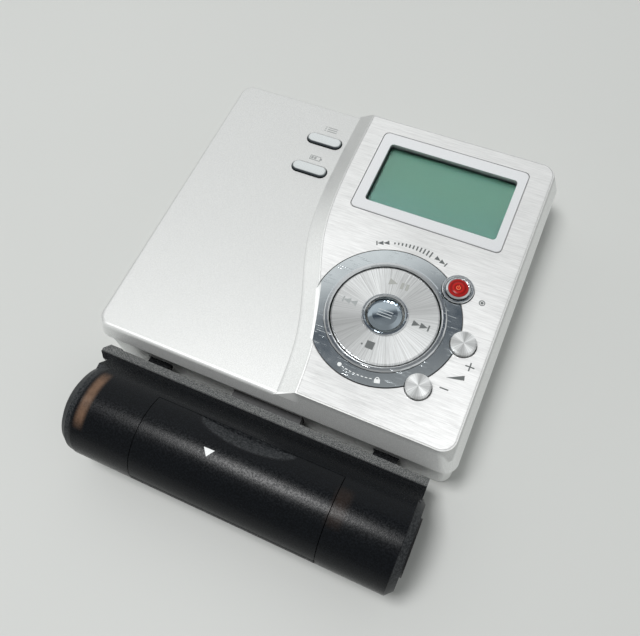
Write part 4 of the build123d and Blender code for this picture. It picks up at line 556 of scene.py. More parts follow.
def spun_metal(name, colour, centre, streaks, rings, depth, bright_angle, lobes=2.0, light_lean=0.0):
    """Turned metal: fine rays and rings, with broad bright and dim sectors painted in as the sheen of its
    grooves.
    Where asked, the dim sectors are painted darker to the left and brighter to the right, as painted light
    from one side."""
    metal = Finish(name, metallic=0.5, roughness=0.34)
    own = metal.centred(metal.place, centre)
    values = {"Streaks": streaks, "Rings": rings, "Bright Angle": bright_angle, "Lobes": lobes}
    turned = metal.effect("spun_grain", own, values)
    tone = metal.blend(turned["Streaks"], rgba(colour, 1.0 - depth), rgba(colour, 1.16))
    # the broad sectors are a painted sheen: the grooves' reflected light, bright and dim by angle
    dim = metal.less(1.0, turned["Sectors"], True)
    shade = metal.blend(turned["Streaks"], rgba(colour, 0.34), rgba(colour, 0.44))
    # painted light from one side: the dim sectors darker to the left and brighter to the right
    shade = metal.shaded(shade, metal.spread(metal.split(own)[0], -0.010, 0.010, 1.0 - light_lean, 1.0 + light_lean))
    return metal.wear({
        "Base Color": metal.blend(metal.times(dim, 0.92), tone, shade),
        "Roughness": metal.spread(turned["Streaks"], 0.0, 1.0, 0.40, 0.28),
        "Normal": metal.bump(turned["Grooves"], 0.000003, 0.5),
        "Tangent": turned["Around"],
        "Anisotropic": 0.35,
    })


def record_red(colour, centre):
    """Glossy red with turned rings under the clear skin, and a chrome rim."""
    ring_pitch = 0.0008
    red = Finish("record_red", roughness=0.28, coat=0.3, coat_roughness=0.04, ior=1.3)
    radius = red.distance_from(red.place, centre)
    ring = red.calc("SINE", red.times(radius, math.tau / ring_pitch))
    tone = red.blend(red.spread(ring, -1.0, 1.0), rgba(colour, 0.50), rgba(colour, 1.15))
    tone = red.blend(red.rise(radius, (0.0, RECORD_RADIUS), 0.6), tone, rgba(colour, 0.35))
    rim = red.rise(radius, RECORD_RIM)
    return red.wear({
        "Base Color": red.blend(rim, tone, (0.74, 0.76, 0.78, 1.0)),
        "Metallic": rim,
        "Roughness": red.spread(rim, 0.0, 1.0, 0.28, 0.14),
        "Normal": red.domed(radius, 9.0, red.bump(ring, 0.00004, 0.8)),
    })


def smoke_plastic(colour, glow):
    """Black smoke plastic: glossy over a fine grit, with copper showing faintly through it only in the lit
    band along its top, which is painted light.
    """
    smoke = Finish("smoke_plastic", roughness=0.28, ior=1.25)
    grit = smoke.grit(3000.0)
    x, y, z = smoke.split(smoke.place)
    radius = smoke.reach(smoke.less(y, CASE_AXIS_Y * MM), smoke.less(z, CASE_AXIS_Z * MM))
    base = smoke.blend(grit["Mask"], rgba(colour), rgba(colour, 2.0))
    scooped = smoke.fall(radius, SCOOP_DEPTH)
    grey = smoke.blend(grit["Mask"], (0.010, 0.012, 0.014, 1.0), (0.060, 0.063, 0.067, 1.0))
    base = smoke.blend(smoke.times(scooped, 0.75), base, grey)
    pale = smoke.blend(smoke.grit(7000.0)["Mask"], (0.030, 0.033, 0.035, 1.0), (0.24, 0.245, 0.24, 1.0))
    base = smoke.blend(smoke.times(smoke.rise(y, FLANGE_Y), smoke.rise(z, FLANGE_Z)), base, pale)
    # copper under the top: where along the case, how far to each side, from what height, how strongly. The
    # copper is real; showing it only high up, in the lamp's highlight band, is painted light.
    strap, spring = (
        smoke.times(
            smoke.fall(smoke.size(smoke.less(x, middle * MM)), (reach * 0.2, reach), smooth=True),
            smoke.rise(z, heights, share, smooth=True))
        for middle, reach, heights, share in (
            (STRAP_X, 1.5, (16.3, 18.2), 0.72), (SPRING_X, 2.2, (17.8, 18.7), 0.08))
    )
    seen = smoke.times(smoke.larger(strap, spring), smoke.spread(grit["Drift"], 0.3, 0.6, 0.75, 1.0))
    rough = smoke.spread(grit["Mask"], 0.0, 1.0, 0.22, 0.36)
    return smoke.wear({
        "Base Color": smoke.blend(seen, base, rgba(glow)),
        "Roughness": smoke.plus(rough, smoke.times(scooped, 0.15)),
        "Normal": smoke.bump(grit["Height"], 0.00005, 0.5),
    })


def moulded(name, colour, roughness, scale=5000.0, depth=0.00002, coat=0.0):
    """A plain moulding with a fine spark texture."""
    plastic = Finish(name, roughness=roughness, coat=coat)
    grit = plastic.grit(scale)
    return plastic.wear({
        "Base Color": plastic.blend(grit["Mask"], rgba(colour, 0.85), rgba(colour, 1.15)),
        "Roughness": plastic.spread(grit["Drift"], 0.3, 0.7, roughness - 0.06, roughness + 0.06),
        "Normal": plastic.bump(grit["Height"], depth, 0.5),
    })


def plain_metal(name, colour, roughness, scale=2500.0, brushed=False):
    """Bare metal with faint stains and, where asked, a rolled grain."""
    metal = Finish(name, metallic=1.0, roughness=roughness)
    fine = metal.effect("brushed_grain", metal.place)["Strokes"] if brushed else metal.grit(scale)["Mask"]
    tone = metal.blend(fine, rgba(colour, 0.88), rgba(colour, 1.08))
    return metal.wear({
        "Base Color": metal.blend(metal.times(metal.handled()["Smudges"], 0.2), tone, rgba(colour, 0.7)),
        "Roughness": metal.spread(fine, 0.0, 1.0, roughness, roughness + 0.12),
        "Normal": metal.bump(fine, 0.000008, 0.5),
    })


def board_mask(colour):
    """Green solder mask with tracks under it."""
    board = Finish("board_mask", roughness=0.32, coat=0.5)
    x, y = board.split(board.place)[:2]
    bent = board.noise(board.place, 180.0, detail=0.0)
    lane, cross = (
        board.calc("SINE", board.times(board.plus(way, board.times(bent, sway)), pitch))
        for way, sway, pitch in ((x, 0.006, 5200.0), (y, 0.005, 4400.0))
    )
    pick = board.spread(board.noise(board.place, 260.0, detail=0.0), 0.49, 0.51)
    lines = board.blend(pick, board.join(lane, lane, lane), board.join(cross, cross, cross))
    track = board.spread(lines, 0.55, 0.7)
    return board.wear({
        "Base Color": board.blend(track, rgba(colour), rgba(colour, 1.9)),
        "Normal": board.bump(track, 0.00002, 0.6),
    })


def print_ink(name, colour):
    ink = Finish(name, roughness=0.45)
    grit = ink.grit(8000.0)
    return ink.wear({
        "Base Color": ink.blend(grit["Mask"], rgba(colour, 0.92), rgba(colour, 1.08)),
        "Normal": ink.bump(grit["Height"], 0.000004, 0.4),
    })


def lens_glass(node):
    """Coated lens: violet to blue, in a black rim."""
    glass = Finish("coated_lens", roughness=0.04, coat=1.0, coat_roughness=0.02)
    radius = glass.distance_from(glass.place, middle_of(node))
    rim = glass.rise(radius, LENS_RIM, smooth=True)
    outward = glass.rise(radius, (0.0, LENS_RIM[0]))
    tint = glass.blend(outward, (0.05, 0.03, 0.12, 1.0), (0.03, 0.08, 0.22, 1.0))
    return glass.wear({
        "Base Color": glass.blend(rim, tint, rgba(BLACK_EDGE)),
        "Roughness": glass.spread(rim, 0.0, 1.0, 0.04, 0.45),
    })


# ================================================================ mesh helpers
def middle_of(node):
    """The middle of a node as seen from above, in millimetres."""
    low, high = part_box(node)
    return (low.x + high.x) / 2 / MM, (low.y + high.y) / 2 / MM


def finished_object(name, mesh, material, body):
    mesh.materials.clear()
    mesh.materials.append(material)
    piece = bpy.data.objects.new(name, mesh)
    bpy.context.scene.collection.objects.link(piece)
    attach(piece, body)
    return piece


def moved(shapes, x=0.0, y=0.0, turn=0.0):
    """Turns (degrees) and shifts flat polygons, in millimetres."""
    c, s = math.cos(math.radians(turn)), math.sin(math.radians(turn))
    return [[(x + c * px - s * py, y + s * px + c * py) for px, py in shape] for shape in shapes]


def bar(width, height, x=0.0, y=0.0):
    w, h = width / 2, height / 2
    return [[(x - w, y - h), (x + w, y - h), (x + w, y + h), (x - w, y + h)]]


def arrow_head(width, height, x=0.0, forward=True):
    w, h = width / 2, height / 2
    if forward:
        return [[(x - w, -h), (x + w, 0.0), (x - w, h)]]
    return [[(x + w, -h), (x + w, h), (x - w, 0.0)]]


def skip_mark(width, height, forward=True):
    """Two arrow heads and a bar."""
    post = width * 0.09
    head = (width - post) / 2
    side = 1.0 if forward else -1.0
    shapes = arrow_head(head, height, -side * (width / 2 - head / 2), forward)
    shapes += arrow_head(head, height, -side * (width / 2 - 1.5 * head), forward)
    return shapes + bar(post, height, side * (width / 2 - post / 2))


def rim_points(radius, angles):
    return [(radius * math.cos(angle), radius * math.sin(angle)) for angle in angles]


def spot(radius, sides=20):
    return [rim_points(radius, [math.tau * i / sides for i in range(sides)])]


def hoop(inner, outer, start=0.0, end=360.0, steps=20):
    """A flat ring, or part of one, as a run of four-sided pieces."""
    angles = [math.radians(start + (end - start) * i / steps) for i in range(steps + 1)]
    near, far = rim_points(inner, angles), rim_points(outer, angles)
    return [[near[i], far[i], far[i + 1], near[i + 1]] for i in range(steps)]


def on_arc(shapes, centre, radius, angle):
    """Places a mark on an arc about a centre, its top pointing outwards."""
    (x, y), = rim_points(radius, [math.radians(angle)])
    return moved(shapes, centre[0] + x, centre[1] + y, angle - 90.0)


def lay_marks(name, shapes, node, material, body, lift=0.02, sink=0.03, step=0.5, level=40.0):
    """Prints flat polygons (in millimetres) on the surface that lies under them, as thin closed solids."""
    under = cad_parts[node].data
    surface = BVHTree.FromPolygons(
        [vertex.co.copy() for vertex in under.vertices], [tuple(face.vertices) for face in under.polygons])
    print_mesh = bmesh.new()
    for shape in shapes:
        print_mesh.faces.new([print_mesh.verts.new((px * MM, py * MM, 0.0)) for px, py in shape])
    bmesh.ops.triangulate(print_mesh, faces=print_mesh.faces[:])
    for _ in range(4):
        long_edges = [edge for edge in print_mesh.edges if edge.calc_length() > step * MM]
        if not long_edges:
            break
        bmesh.ops.subdivide_edges(print_mesh, edges=long_edges, cuts=1)
        bmesh.ops.triangulate(print_mesh, faces=print_mesh.faces[:])
    grown = bmesh.ops.extrude_face_region(print_mesh, geom=print_mesh.faces[:])
    upper = {item for item in grown["geom"] if isinstance(item, bmesh.types.BMVert)}
    for vertex in print_mesh.verts:
        hit = surface.ray_cast(Vector((vertex.co.x, vertex.co.y, level * MM)), Vector((0.0, 0.0, -1.0)))[0]
        if hit is None:
            raise RuntimeError(name + " reaches past " + node)
        vertex.co.z = hit.z + (lift if vertex in upper else -sink) * MM
    finished_object(name, closed_mesh(print_mesh, name), material, body)


def closed_mesh(shape, name):
    """Turns a closed shape's faces outwards and makes it a mesh."""
    bmesh.ops.recalc_face_normals(shape, faces=shape.faces[:])
    mesh = bpy.data.meshes.new(name)
    shape.to_mesh(mesh)
    shape.free()
    return mesh


# ================================================================ geometry nodes
def node_modifier(piece, name, inputs, build):
    """A Geometry Nodes modifier with named inputs, set by their identifiers."""
    tree = bpy.data.node_groups.new(name, "GeometryNodeTree")
    tree.interface.new_socket("Geometry", in_out="INPUT", socket_type="NodeSocketGeometry")
    sockets = [
        (tree.interface.new_socket(label, in_out="INPUT", socket_type=kind), value)
        for label, kind, value in inputs
    ]
    tree.interface.new_socket("Geometry", in_out="OUTPUT", socket_type="NodeSocketGeometry")
    graph = Graph(tree)
    graph.add("NodeGroupOutput", {0: build(graph, graph.add("NodeGroupInput").outputs)})
    modifier = piece.modifiers.new(name, "NODES")
    modifier.node_group = tree
    for socket, value in sockets:
        modifier[socket.identifier] = value


def settle(piece):
    """Turns a piece with a live node tree into a plain mesh."""
    graph = bpy.context.evaluated_depsgraph_get()
    graph.update()
    mesh = bpy.data.meshes.new_from_object(piece.evaluated_get(graph))
    piece.modifiers.clear()
    bpy.data.objects.remove(piece)
    return mesh


def carrier(name, points=((0.0, 0.0, 0.0),)):
    """A holder of loose points for a node tree to work on."""
    mesh = bpy.data.meshes.new(name)
    mesh.from_pydata([Vector(point) for point in points], [], [])
    piece = bpy.data.objects.new(name, mesh)
    bpy.context.scene.collection.objects.link(piece)
    return piece


def realised(graph, geometry, material):
    real = graph.add("GeometryNodeRealizeInstances", {0: geometry}).outputs[0]
    return graph.add("GeometryNodeSetMaterial", {"Geometry": real, "Material": material}).outputs[0]


def screw_mesh(name, head_radius, head_height, shank_radius, shank_length, recess):
    """A pan head screw with a cross recess, its head's top at z = 0 and its shank pointing down."""
    mesh = bmesh.new()
    sides = 24
    half = recess / 2
    reach = head_radius * 0.62
    depth = head_height * 0.7
    cross = [
        Matrix.Rotation(quarter * math.pi / 2, 2) @ Vector(corner)
        for quarter in range(4) for corner in ((half, -half), (reach, -half), (reach, half))
    ]
    mouth = [mesh.verts.new((point.x, point.y, 0.0)) for point in cross]
    floor = [mesh.verts.new((point.x * 0.8, point.y * 0.8, -depth)) for point in cross]
    mesh.faces.new(list(reversed(floor)))
    count = len(cross)
    for i in range(count):
        mesh.faces.new((mouth[i], mouth[(i + 1) % count], floor[(i + 1) % count], floor[i]))
    profile = [
        (head_radius * 0.80, 0.0), (head_radius * 0.94, -head_height * 0.14),
        (head_radius, -head_height * 0.4), (head_radius, -head_height), (shank_radius, -head_height),
        (shank_radius, -head_height - shank_length * 0.9), (shank_radius * 0.5, -head_height - shank_length),
    ]
    loops = [[mesh.verts.new((x, y, z)) for x, y in spot(radius, sides)[0]] for radius, z in profile]
    for upper, lower in zip(loops, loops[1:]):
        for i in range(sides):
            mesh.faces.new((upper[i], upper[(i + 1) % sides], lower[(i + 1) % sides], lower[i]))
    mesh.faces.new(loops[-1])
    top_edges = [
        mesh.edges.get((ring[i], ring[(i + 1) % len(ring)]))
        for ring in (mouth, loops[0]) for i in range(len(ring))
    ]
    bmesh.ops.triangle_fill(mesh, edges=top_edges, use_beauty=True)
    return closed_mesh(mesh, name)


def screws_on(name, node, material, recess, flip, body):
    """Gives each screw of a node a head with a cross recess, placed by Geometry Nodes."""
    boxes = solid_boxes(node)
    centres = [
        ((low.x + high.x) / 2, (low.y + high.y) / 2, low.z if flip else high.z) for low, high in boxes]
    low, high = boxes[-1]
    head_radius = (high.x - low.x) / 2
    head_height = head_radius * 0.5
    shank_length = high.z - low.z - head_height
    pattern = bpy.data.objects.new(
        name + "_pattern",
        screw_mesh(name + "_pattern", head_radius, head_height, head_radius * 0.52, shank_length, recess)
    )
    bpy.context.scene.collection.objects.link(pattern)
    holder = carrier(name + "_places", centres)

    def build(graph, given):
        points = graph.add("GeometryNodeMeshToPoints", {0: given["Geometry"]}).outputs[0]
        shape = graph.add("GeometryNodeObjectInfo", {"Object": given["Screw"]}).outputs["Geometry"]
        spin = graph.times(graph.add("GeometryNodeInputIndex").outputs[0], given["Turn"])
        aim = graph.add("FunctionNodeEulerToRotation", {0: graph.join(given["Tilt"], 0.0, spin)}).outputs[0]
        inputs = {"Points": points, "Instance": shape, "Rotation": aim}
        return realised(graph, graph.add("GeometryNodeInstanceOnPoints", inputs).outputs[0], given["Finish"])

    node_modifier(holder, name + "_screws", [
        ("Screw", "NodeSocketObject", pattern),
        ("Turn", FLOAT, 0.7),
        ("Tilt", FLOAT, math.pi if flip else 0.0),
        ("Finish", "NodeSocketMaterial", material),
    ], build)
    mesh = settle(holder)
    bpy.data.objects.remove(pattern)
    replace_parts(finished_object(name, mesh, material, body), node)


def solid_boxes(node):
    """The low and high corners of each separate solid in a node."""
    copy = bmesh.new()
    copy.from_mesh(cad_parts[node].data)
    bmesh.ops.remove_doubles(copy, verts=copy.verts[:], dist=1e-7)
    copy.verts.ensure_lookup_table()
    seen = set()
    boxes = []
    for first in copy.verts:
        if first.index in seen:
            continue
        seen.add(first.index)
        front = [first]
        points = []
        while front:
            vertex = front.pop()
            points.append(vertex.co)
            for edge in vertex.link_edges:
                other = edge.other_vert(vertex)
                if other.index not in seen:
                    seen.add(other.index)
                    front.append(other)
        boxes.append([
            Vector([pick(point[axis] for point in points) for axis in range(3)]) for pick in (min, max)])
    copy.free()
    return sorted(boxes, key=lambda box: (round(box[0].x, 5), round(box[0].y, 5)))


# ================================================================ operators
class PlayerOperator(bpy.types.Operator):
    bl_options = {"REGISTER", "UNDO"}


class DISCPLAYER_OT_stage(PlayerOperator):
    """Floor, soft light and the camera"""

    bl_idname = "disc_player.stage"
    bl_label = "Stage"

    def execute(self, context):
        settings = context.scene.disc_player_stage
        scene = context.scene
        scene.view_settings.view_transform = "Standard"
        self.make_camera(scene)
        self.make_floor(scene, settings)
        self.make_sky(scene, settings)
        lamp = bpy.data.lights.new("soft_lamp", "AREA")
        lamp.shape = "SQUARE"
        lamp.size = settings.lamp_size
        lamp.energy = settings.lamp_power
        holder = bpy.data.objects.new("soft_lamp", lamp)
        holder.location = LAMP_PLACE
        holder.rotation_euler = (Vector(LAMP_AIM) - holder.location).to_track_quat("-Z", "Y").to_euler()
        scene.collection.objects.link(holder)
        return {"FINISHED"}

    def make_camera(self, scene):
        camera = bpy.data.cameras.new("view_camera")
        camera.sensor_width = 36.0
        camera.lens = FOCAL_LENGTH
        camera.clip_start = 0.005
        holder = bpy.data.objects.new("view_camera", camera)
        turn = Matrix((Vector(EYE_RIGHT), -Vector(EYE_DOWN), -Vector(EYE_FORWARD))).transposed()
        holder.matrix_world = Matrix.Translation(Vector(EYE)) @ turn.to_4x4()
        scene.collection.objects.link(holder)
        scene.camera = holder

    def make_floor(self, scene, settings):
        mesh = bpy.data.meshes.new("floor")
        corners = [(x * FLOOR_HALF, y * FLOOR_HALF, 0) for x, y in ((-1, -1), (1, -1), (1, 1), (-1, 1))]
        mesh.from_pydata(corners, [], [(0, 1, 2, 3)])
        floor = bpy.data.objects.new("floor", mesh)
        scene.collection.objects.link(floor)
        table = Finish("table_top", roughness=0.55)
        drift = table.noise(table.place, 9.0, detail=2.0)
        colour = settings.floor_colour
        mesh.materials.append(
            table.wear({"Base Color": table.blend(drift, rgba(colour, 0.975), rgba(colour, 1.02))}))

    def make_sky(self, scene, settings):
        """Bright behind the player, dim towards the viewer, and darkest overhead, where metal mirrors it."""
        world = bpy.data.worlds.new("studio")
        world.use_nodes = True
        world.node_tree.nodes.clear()
        sky = Graph(world.node_tree)
        way = sky.add("ShaderNodeTexCoord").outputs["Generated"]
        away = sky.vector_calc("DOT_PRODUCT", way, b=WAY_PAST)
        behind = sky.spread(away, 0.420, 0.500, smooth=True)
        beside = sky.times(sky.spread(sky.split(way)[0], 0.45, 0.85, smooth=True), 0.6)
        level = sky.spread(sky.larger(behind, beside), 0.0, 1.0, settings.sky_front, settings.sky_back)
        bright = sky.join(sky.times(level, 0.99), sky.times(level, 1.01), level)
        near = sky.vector_calc("DOT_PRODUCT", way, b=Vector(DARK_SPOT).normalized())
        inside = sky.spread(near, math.cos(SPOT_OUTER), math.cos(SPOT_INNER), smooth=True)
        inside = sky.times(inside, sky.less(1.0, behind))
        inside = sky.times(inside, sky.spread(away, 0.335, 0.400, 0.15, 1.0, smooth=True))
        dark = tuple(settings.sky_dark * tint for tint in (0.8, 1.3, 2.0)) + (1.0,)
        back = sky.add("ShaderNodeBackground", {"Color": sky.blend(inside, bright, dark), "Strength": 1.0})
        sky.add("ShaderNodeOutputWorld", {"Surface": back.outputs[0]})
        scene.world = world


class DISCPLAYER_OT_lid(PlayerOperator):
    """Paint of the lid and base, and the brushed face plate"""

    bl_idname = "disc_player.lid"
    bl_label = "Lid and face plate"

    def execute(self, context):
        settings = context.scene.disc_player_body
        put_on(silver_paint(settings.paint), "lid_shell", "base_case", "battery_cover", "open_slider")
        put_on(brushed_plate(settings.plate), "face_plate")
        return {"FINISHED"}


class DISCPLAYER_OT_display(PlayerOperator):
    """Display frame, window and panel"""

    bl_idname = "disc_player.display"
    bl_label = "Display"

    def execute(self, context):
        settings = context.scene.disc_player_body
        put_on(satin_frame(settings.frame_colour), "lcd_frame")
        put_on(clear_window(), "lcd_window")
        put_on(display_green(settings.display), "lcd_panel")
        return {"FINISHED"}


class DISCPLAYER_OT_keys(PlayerOperator):
    """Dial, its ring, and the round and pill-shaped keys"""

    bl_idname = "disc_player.keys"
    bl_label = "Dial and keys"

    def execute(self, context):
        settings = context.scene.disc_player_body
        # the ring's rim past this radius gets painted shade, as in the gap round it
        edge = (DIAL_CENTRE, RING_RADIUS - 0.10)
        put_on(mirror_chrome("ring_chrome", settings.chrome, 0.11, 0.12, edge=edge), "key_ring_plate")
        trim = mirror_chrome("trim_chrome", (0.80, 0.82, 0.84), 0.10, 0.2)
        put_on(trim, "dial_lip", "rec_bezel", "dial_hub_ring")
        dome = mirror_chrome("dome_chrome", (0.46, 0.53, 0.59), 0.11, 0.2, dome=(DIAL_CENTRE, 22.0))
        put_on(dome, "centre_button")
        for node in ("rear_pill_button", "front_pill_button"):
            put_on(pill_chrome(node + "_chrome", middle_of(node)), node)
        dial = spun_metal("dial_spun", settings.spun, DIAL_CENTRE, 40.0, 9000.0, 0.42, 2.15, light_lean=0.38)
        put_on(dial, "dial_key")
        for node in ("volume_up_button", "volume_down_button"):
            spin = spun_metal(node + "_spun", settings.spun, middle_of(node), 9.0, 14000.0, 0.30, 0.9, 4.0)
            put_on(spin, node)
        put_on(record_red(settings.record, middle_of("rec_button")), "rec_button")
        return {"FINISHED"}


class DISCPLAYER_OT_marks(PlayerOperator):
    """Printed symbols on the dial, the plate, the ring and the keys"""

    bl_idname = "disc_player.marks"
    bl_label = "Printed symbols"

    def execute(self, context):
        settings = context.scene.disc_player_body
        dark = print_ink("dark_ink", settings.ink)
        self.mark_dial(dark, print_ink("grey_ink", settings.light_ink))
        self.mark_plate(dark)
        self.mark_level(dark, context.scene.disc_player_hardware.tick_count)
        self.mark_ring(print_ink("white_ink", context.scene.disc_player_case.ink))
        self.mark_keys()
        return {"FINISHED"}

    def mark_dial(self, dark, grey):
        pale = print_ink("pale_ink", (0.36, 0.37, 0.35))
        play = moved(arrow_head(1.75, 1.5), *PLAY_AT)
        for x in PAUSE_X:
            play += bar(0.62, 1.45, x, PAUSE_Y)
        stop = bar(1.6, 1.6, *STOP_AT) + moved(spot(0.2, 10), *STOP_SPOT_AT)
        for name, shapes, ink in (
            ("play_mark", play, pale),
            ("back_mark", moved(skip_mark(3.0, 1.3, False), *BACK_AT), grey),
            ("next_mark", moved(skip_mark(3.4, 1.3, True), *NEXT_AT), dark),
            ("stop_mark", stop, dark),
        ):
            lay_marks(name, shapes, "dial_key", ink, "dial")

    def mark_plate(self, dark):
        skips = on_arc(skip_mark(2.7, 1.0, False), DIAL_CENTRE, PLATE_MARK_RADIUS, LEVEL_BACK_ANGLE)
        skips += on_arc(skip_mark(2.7, 1.0, True), DIAL_CENTRE, PLATE_MARK_RADIUS, LEVEL_NEXT_ANGLE)
        plus = bar(1.75, 0.26) + bar(0.26, 0.745, 0.0, 0.5) + bar(0.26, 0.745, 0.0, -0.5)
        signs = moved(plus, *PLUS_AT) + bar(1.7, 0.26, *MINUS_AT)
        wedge = [[(-1.7, -0.45), (1.7, -0.45), (1.7, 0.55)]]
        for name, shapes in (
            ("level_skips", skips),
            ("volume_signs", signs),
            ("volume_wedge", moved(wedge, *WEDGE_AT, turn=12.0)),
            ("record_dot", moved(hoop(0.45, 0.62) + spot(0.3, 14), *RECORD_DOT_AT)),
        ):
            lay_marks(name, shapes, "face_plate", dark, "lid")
        icon_ink = print_ink("icon_ink", (0.30, 0.31, 0.31))
        lay_marks("pill_icons", self.pill_icons(), "lid_shell", icon_ink, "lid")

    def pill_icons(self):
        """A list over one pill key and a cell over the other."""
        x, y = LIST_ICON_AT
        rows = []
        for i in range(3):
            rows += bar(2.4, 0.2, x, y + 0.55 * i) + moved(spot(0.16, 8), x - 1.7, y + 0.55 * i)
        cell = bar(2.6, 0.16, 0.0, 0.55) + bar(2.6, 0.16, 0.0, -0.55)
        cell += bar(0.16, 0.94, -1.22) + bar(0.16, 0.94, 1.22) + bar(0.3, 0.5, 1.46)
        cell += bar(0.5, 0.62, -0.72) + bar(0.5, 0.62, 0.0)
        return rows + moved(cell, *CELL_ICON_AT)

    def mark_level(self, dark, count):
        """Marks that grow along an arc, placed by Geometry Nodes."""
        holder = carrier("level_ticks_seed")
        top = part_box("face_plate")[1].z

        def build(graph, given):
            line = graph.add("GeometryNodeMeshLine", {"Count": given["Count"]}, mode="OFFSET").outputs[0]
            index = graph.add("GeometryNodeInputIndex").outputs[0]
            share = graph.calc("DIVIDE", index, graph.less(given["Count"], 1.0))
            angle = graph.spread(share, 0.0, 1.0, given["First Angle"], given["Last Angle"])
            x = graph.times(graph.calc("COSINE", angle), given["Radius"])
            y = graph.times(graph.calc("SINE", angle), given["Radius"])
            place = graph.join(graph.plus(x, DIAL_CENTRE[0] * MM), graph.plus(y, DIAL_CENTRE[1] * MM), top)
            points = graph.add("GeometryNodeSetPosition", {"Geometry": line, "Position": place}).outputs[0]
            tall = graph.spread(share, 0.0, 1.0, given["Short"], given["Tall"])
            cube = graph.add("GeometryNodeMeshCube", {"Size": (0.00030, 1.0, 0.00005)}).outputs[0]
            upright = graph.join(0.0, 0.0, graph.less(angle, math.pi / 2))
            turn = graph.add("FunctionNodeEulerToRotation", {0: upright}).outputs[0]
            size = graph.join(1.0, tall, 1.0)
            inputs = {"Points": points, "Instance": cube, "Rotation": turn, "Scale": size}
            placed = graph.add("GeometryNodeInstanceOnPoints", inputs).outputs[0]
            return realised(graph, placed, given["Finish"])

        node_modifier(holder, "level_ticks", [
            ("Count", "NodeSocketInt", count),
            ("Radius", FLOAT, PLATE_MARK_RADIUS * MM),
            ("First Angle", FLOAT, math.radians(FIRST_TICK_ANGLE)),
            ("Last Angle", FLOAT, math.radians(LAST_TICK_ANGLE)),
            ("Short", FLOAT, 0.00045),
            ("Tall", FLOAT, 0.00140),
            ("Finish", "NodeSocketMaterial", dark),
        ], build)
        finished_object("level_ticks", settle(holder), dark, "lid")

    def mark_ring(self, white):
        """A dotted way from a spot to a padlock."""
        lock = bar(1.1, 0.8, 0.0, -0.3) + moved(hoop(0.26, 0.42, 0.0, 180.0, 8), 0.0, 0.1)
        marks = on_arc(spot(0.42, 16), DIAL_CENTRE, RING_MARK_RADIUS, RING_SPOT_ANGLE)
        for i in range(8):
            angle = RING_DASH_ANGLE + RING_DASH_STEP * i
            marks += on_arc(bar(0.5, 0.16), DIAL_CENTRE, RING_MARK_RADIUS, angle)
        marks += on_arc(moved(lock, turn=180.0), DIAL_CENTRE, RING_MARK_RADIUS, RING_LOCK_ANGLE)
        lay_marks("ring_marks", marks, "key_ring_plate", white, "lid")

    def mark_keys(self):
        """Three lines on the centre key, and an open ring with a bar on the record key."""
        x, y = middle_of("centre_button")
        lines = bar(3.0, 0.18, x, y + 0.6) + bar(3.0, 0.18, x, y) + bar(3.0, 0.18, x, y - 0.6)
        menu_ink = print_ink("menu_ink", (0.42, 0.46, 0.48))
        lay_marks("menu_lines", lines, "centre_button", menu_ink, "centre_key")
        glyph = hoop(0.34, 0.46, 125.0, 415.0, 16) + bar(0.13, 0.5, 0.0, 0.32)
        orange_ink = print_ink("orange_ink", (0.75, 0.16, 0.05))
        lay_marks("record_glyph", moved(glyph, *middle_of("rec_button")), "rec_button", orange_ink, "rec_key")


class DISCPLAYER_OT_base(PlayerOperator):
    """Screws, hinge pins, battery and the sheet-metal parts of the lid and base"""

    bl_idname = "disc_player.base"
    bl_label = "Base hardware"

    def execute(self, context):
        recess = context.scene.disc_player_hardware.recess_width
        zinc = plain_metal("zinc_screw", (0.62, 0.62, 0.60), 0.28)
        steel = plain_metal("bright_steel", (0.60, 0.60, 0.59), 0.25)
        spring = plain_metal("spring_steel", (0.66, 0.66, 0.64), 0.30, brushed=True)
        put_on(steel, "hinge_pins", "guide_rods", "door_pin")
        put_on(spring, "disc_holder", "key_domes", "negative_contact", "positive_contact")
        put_on(plain_metal("gold_contact", (0.80, 0.58, 0.24), 0.25), "battery_contacts", "plug_contacts")
        put_on(moulded("battery_wrap", (0.035, 0.05, 0.075), 0.35, 2200.0, coat=0.3), "battery_pack")
        put_on(moulded("white_moulding", (0.62, 0.62, 0.58), 0.5), "dial_spider", "line_in_jack")
        screws_on("base_screw_heads", "base_screws", zinc, recess, True, "player")
        screws_on("chassis_screw_heads", "chassis_screws", zinc, recess, False, "player")
        screws_on("board_screw_heads", "board_screws", zinc, recess, True, "lid")
        return {"FINISHED"}


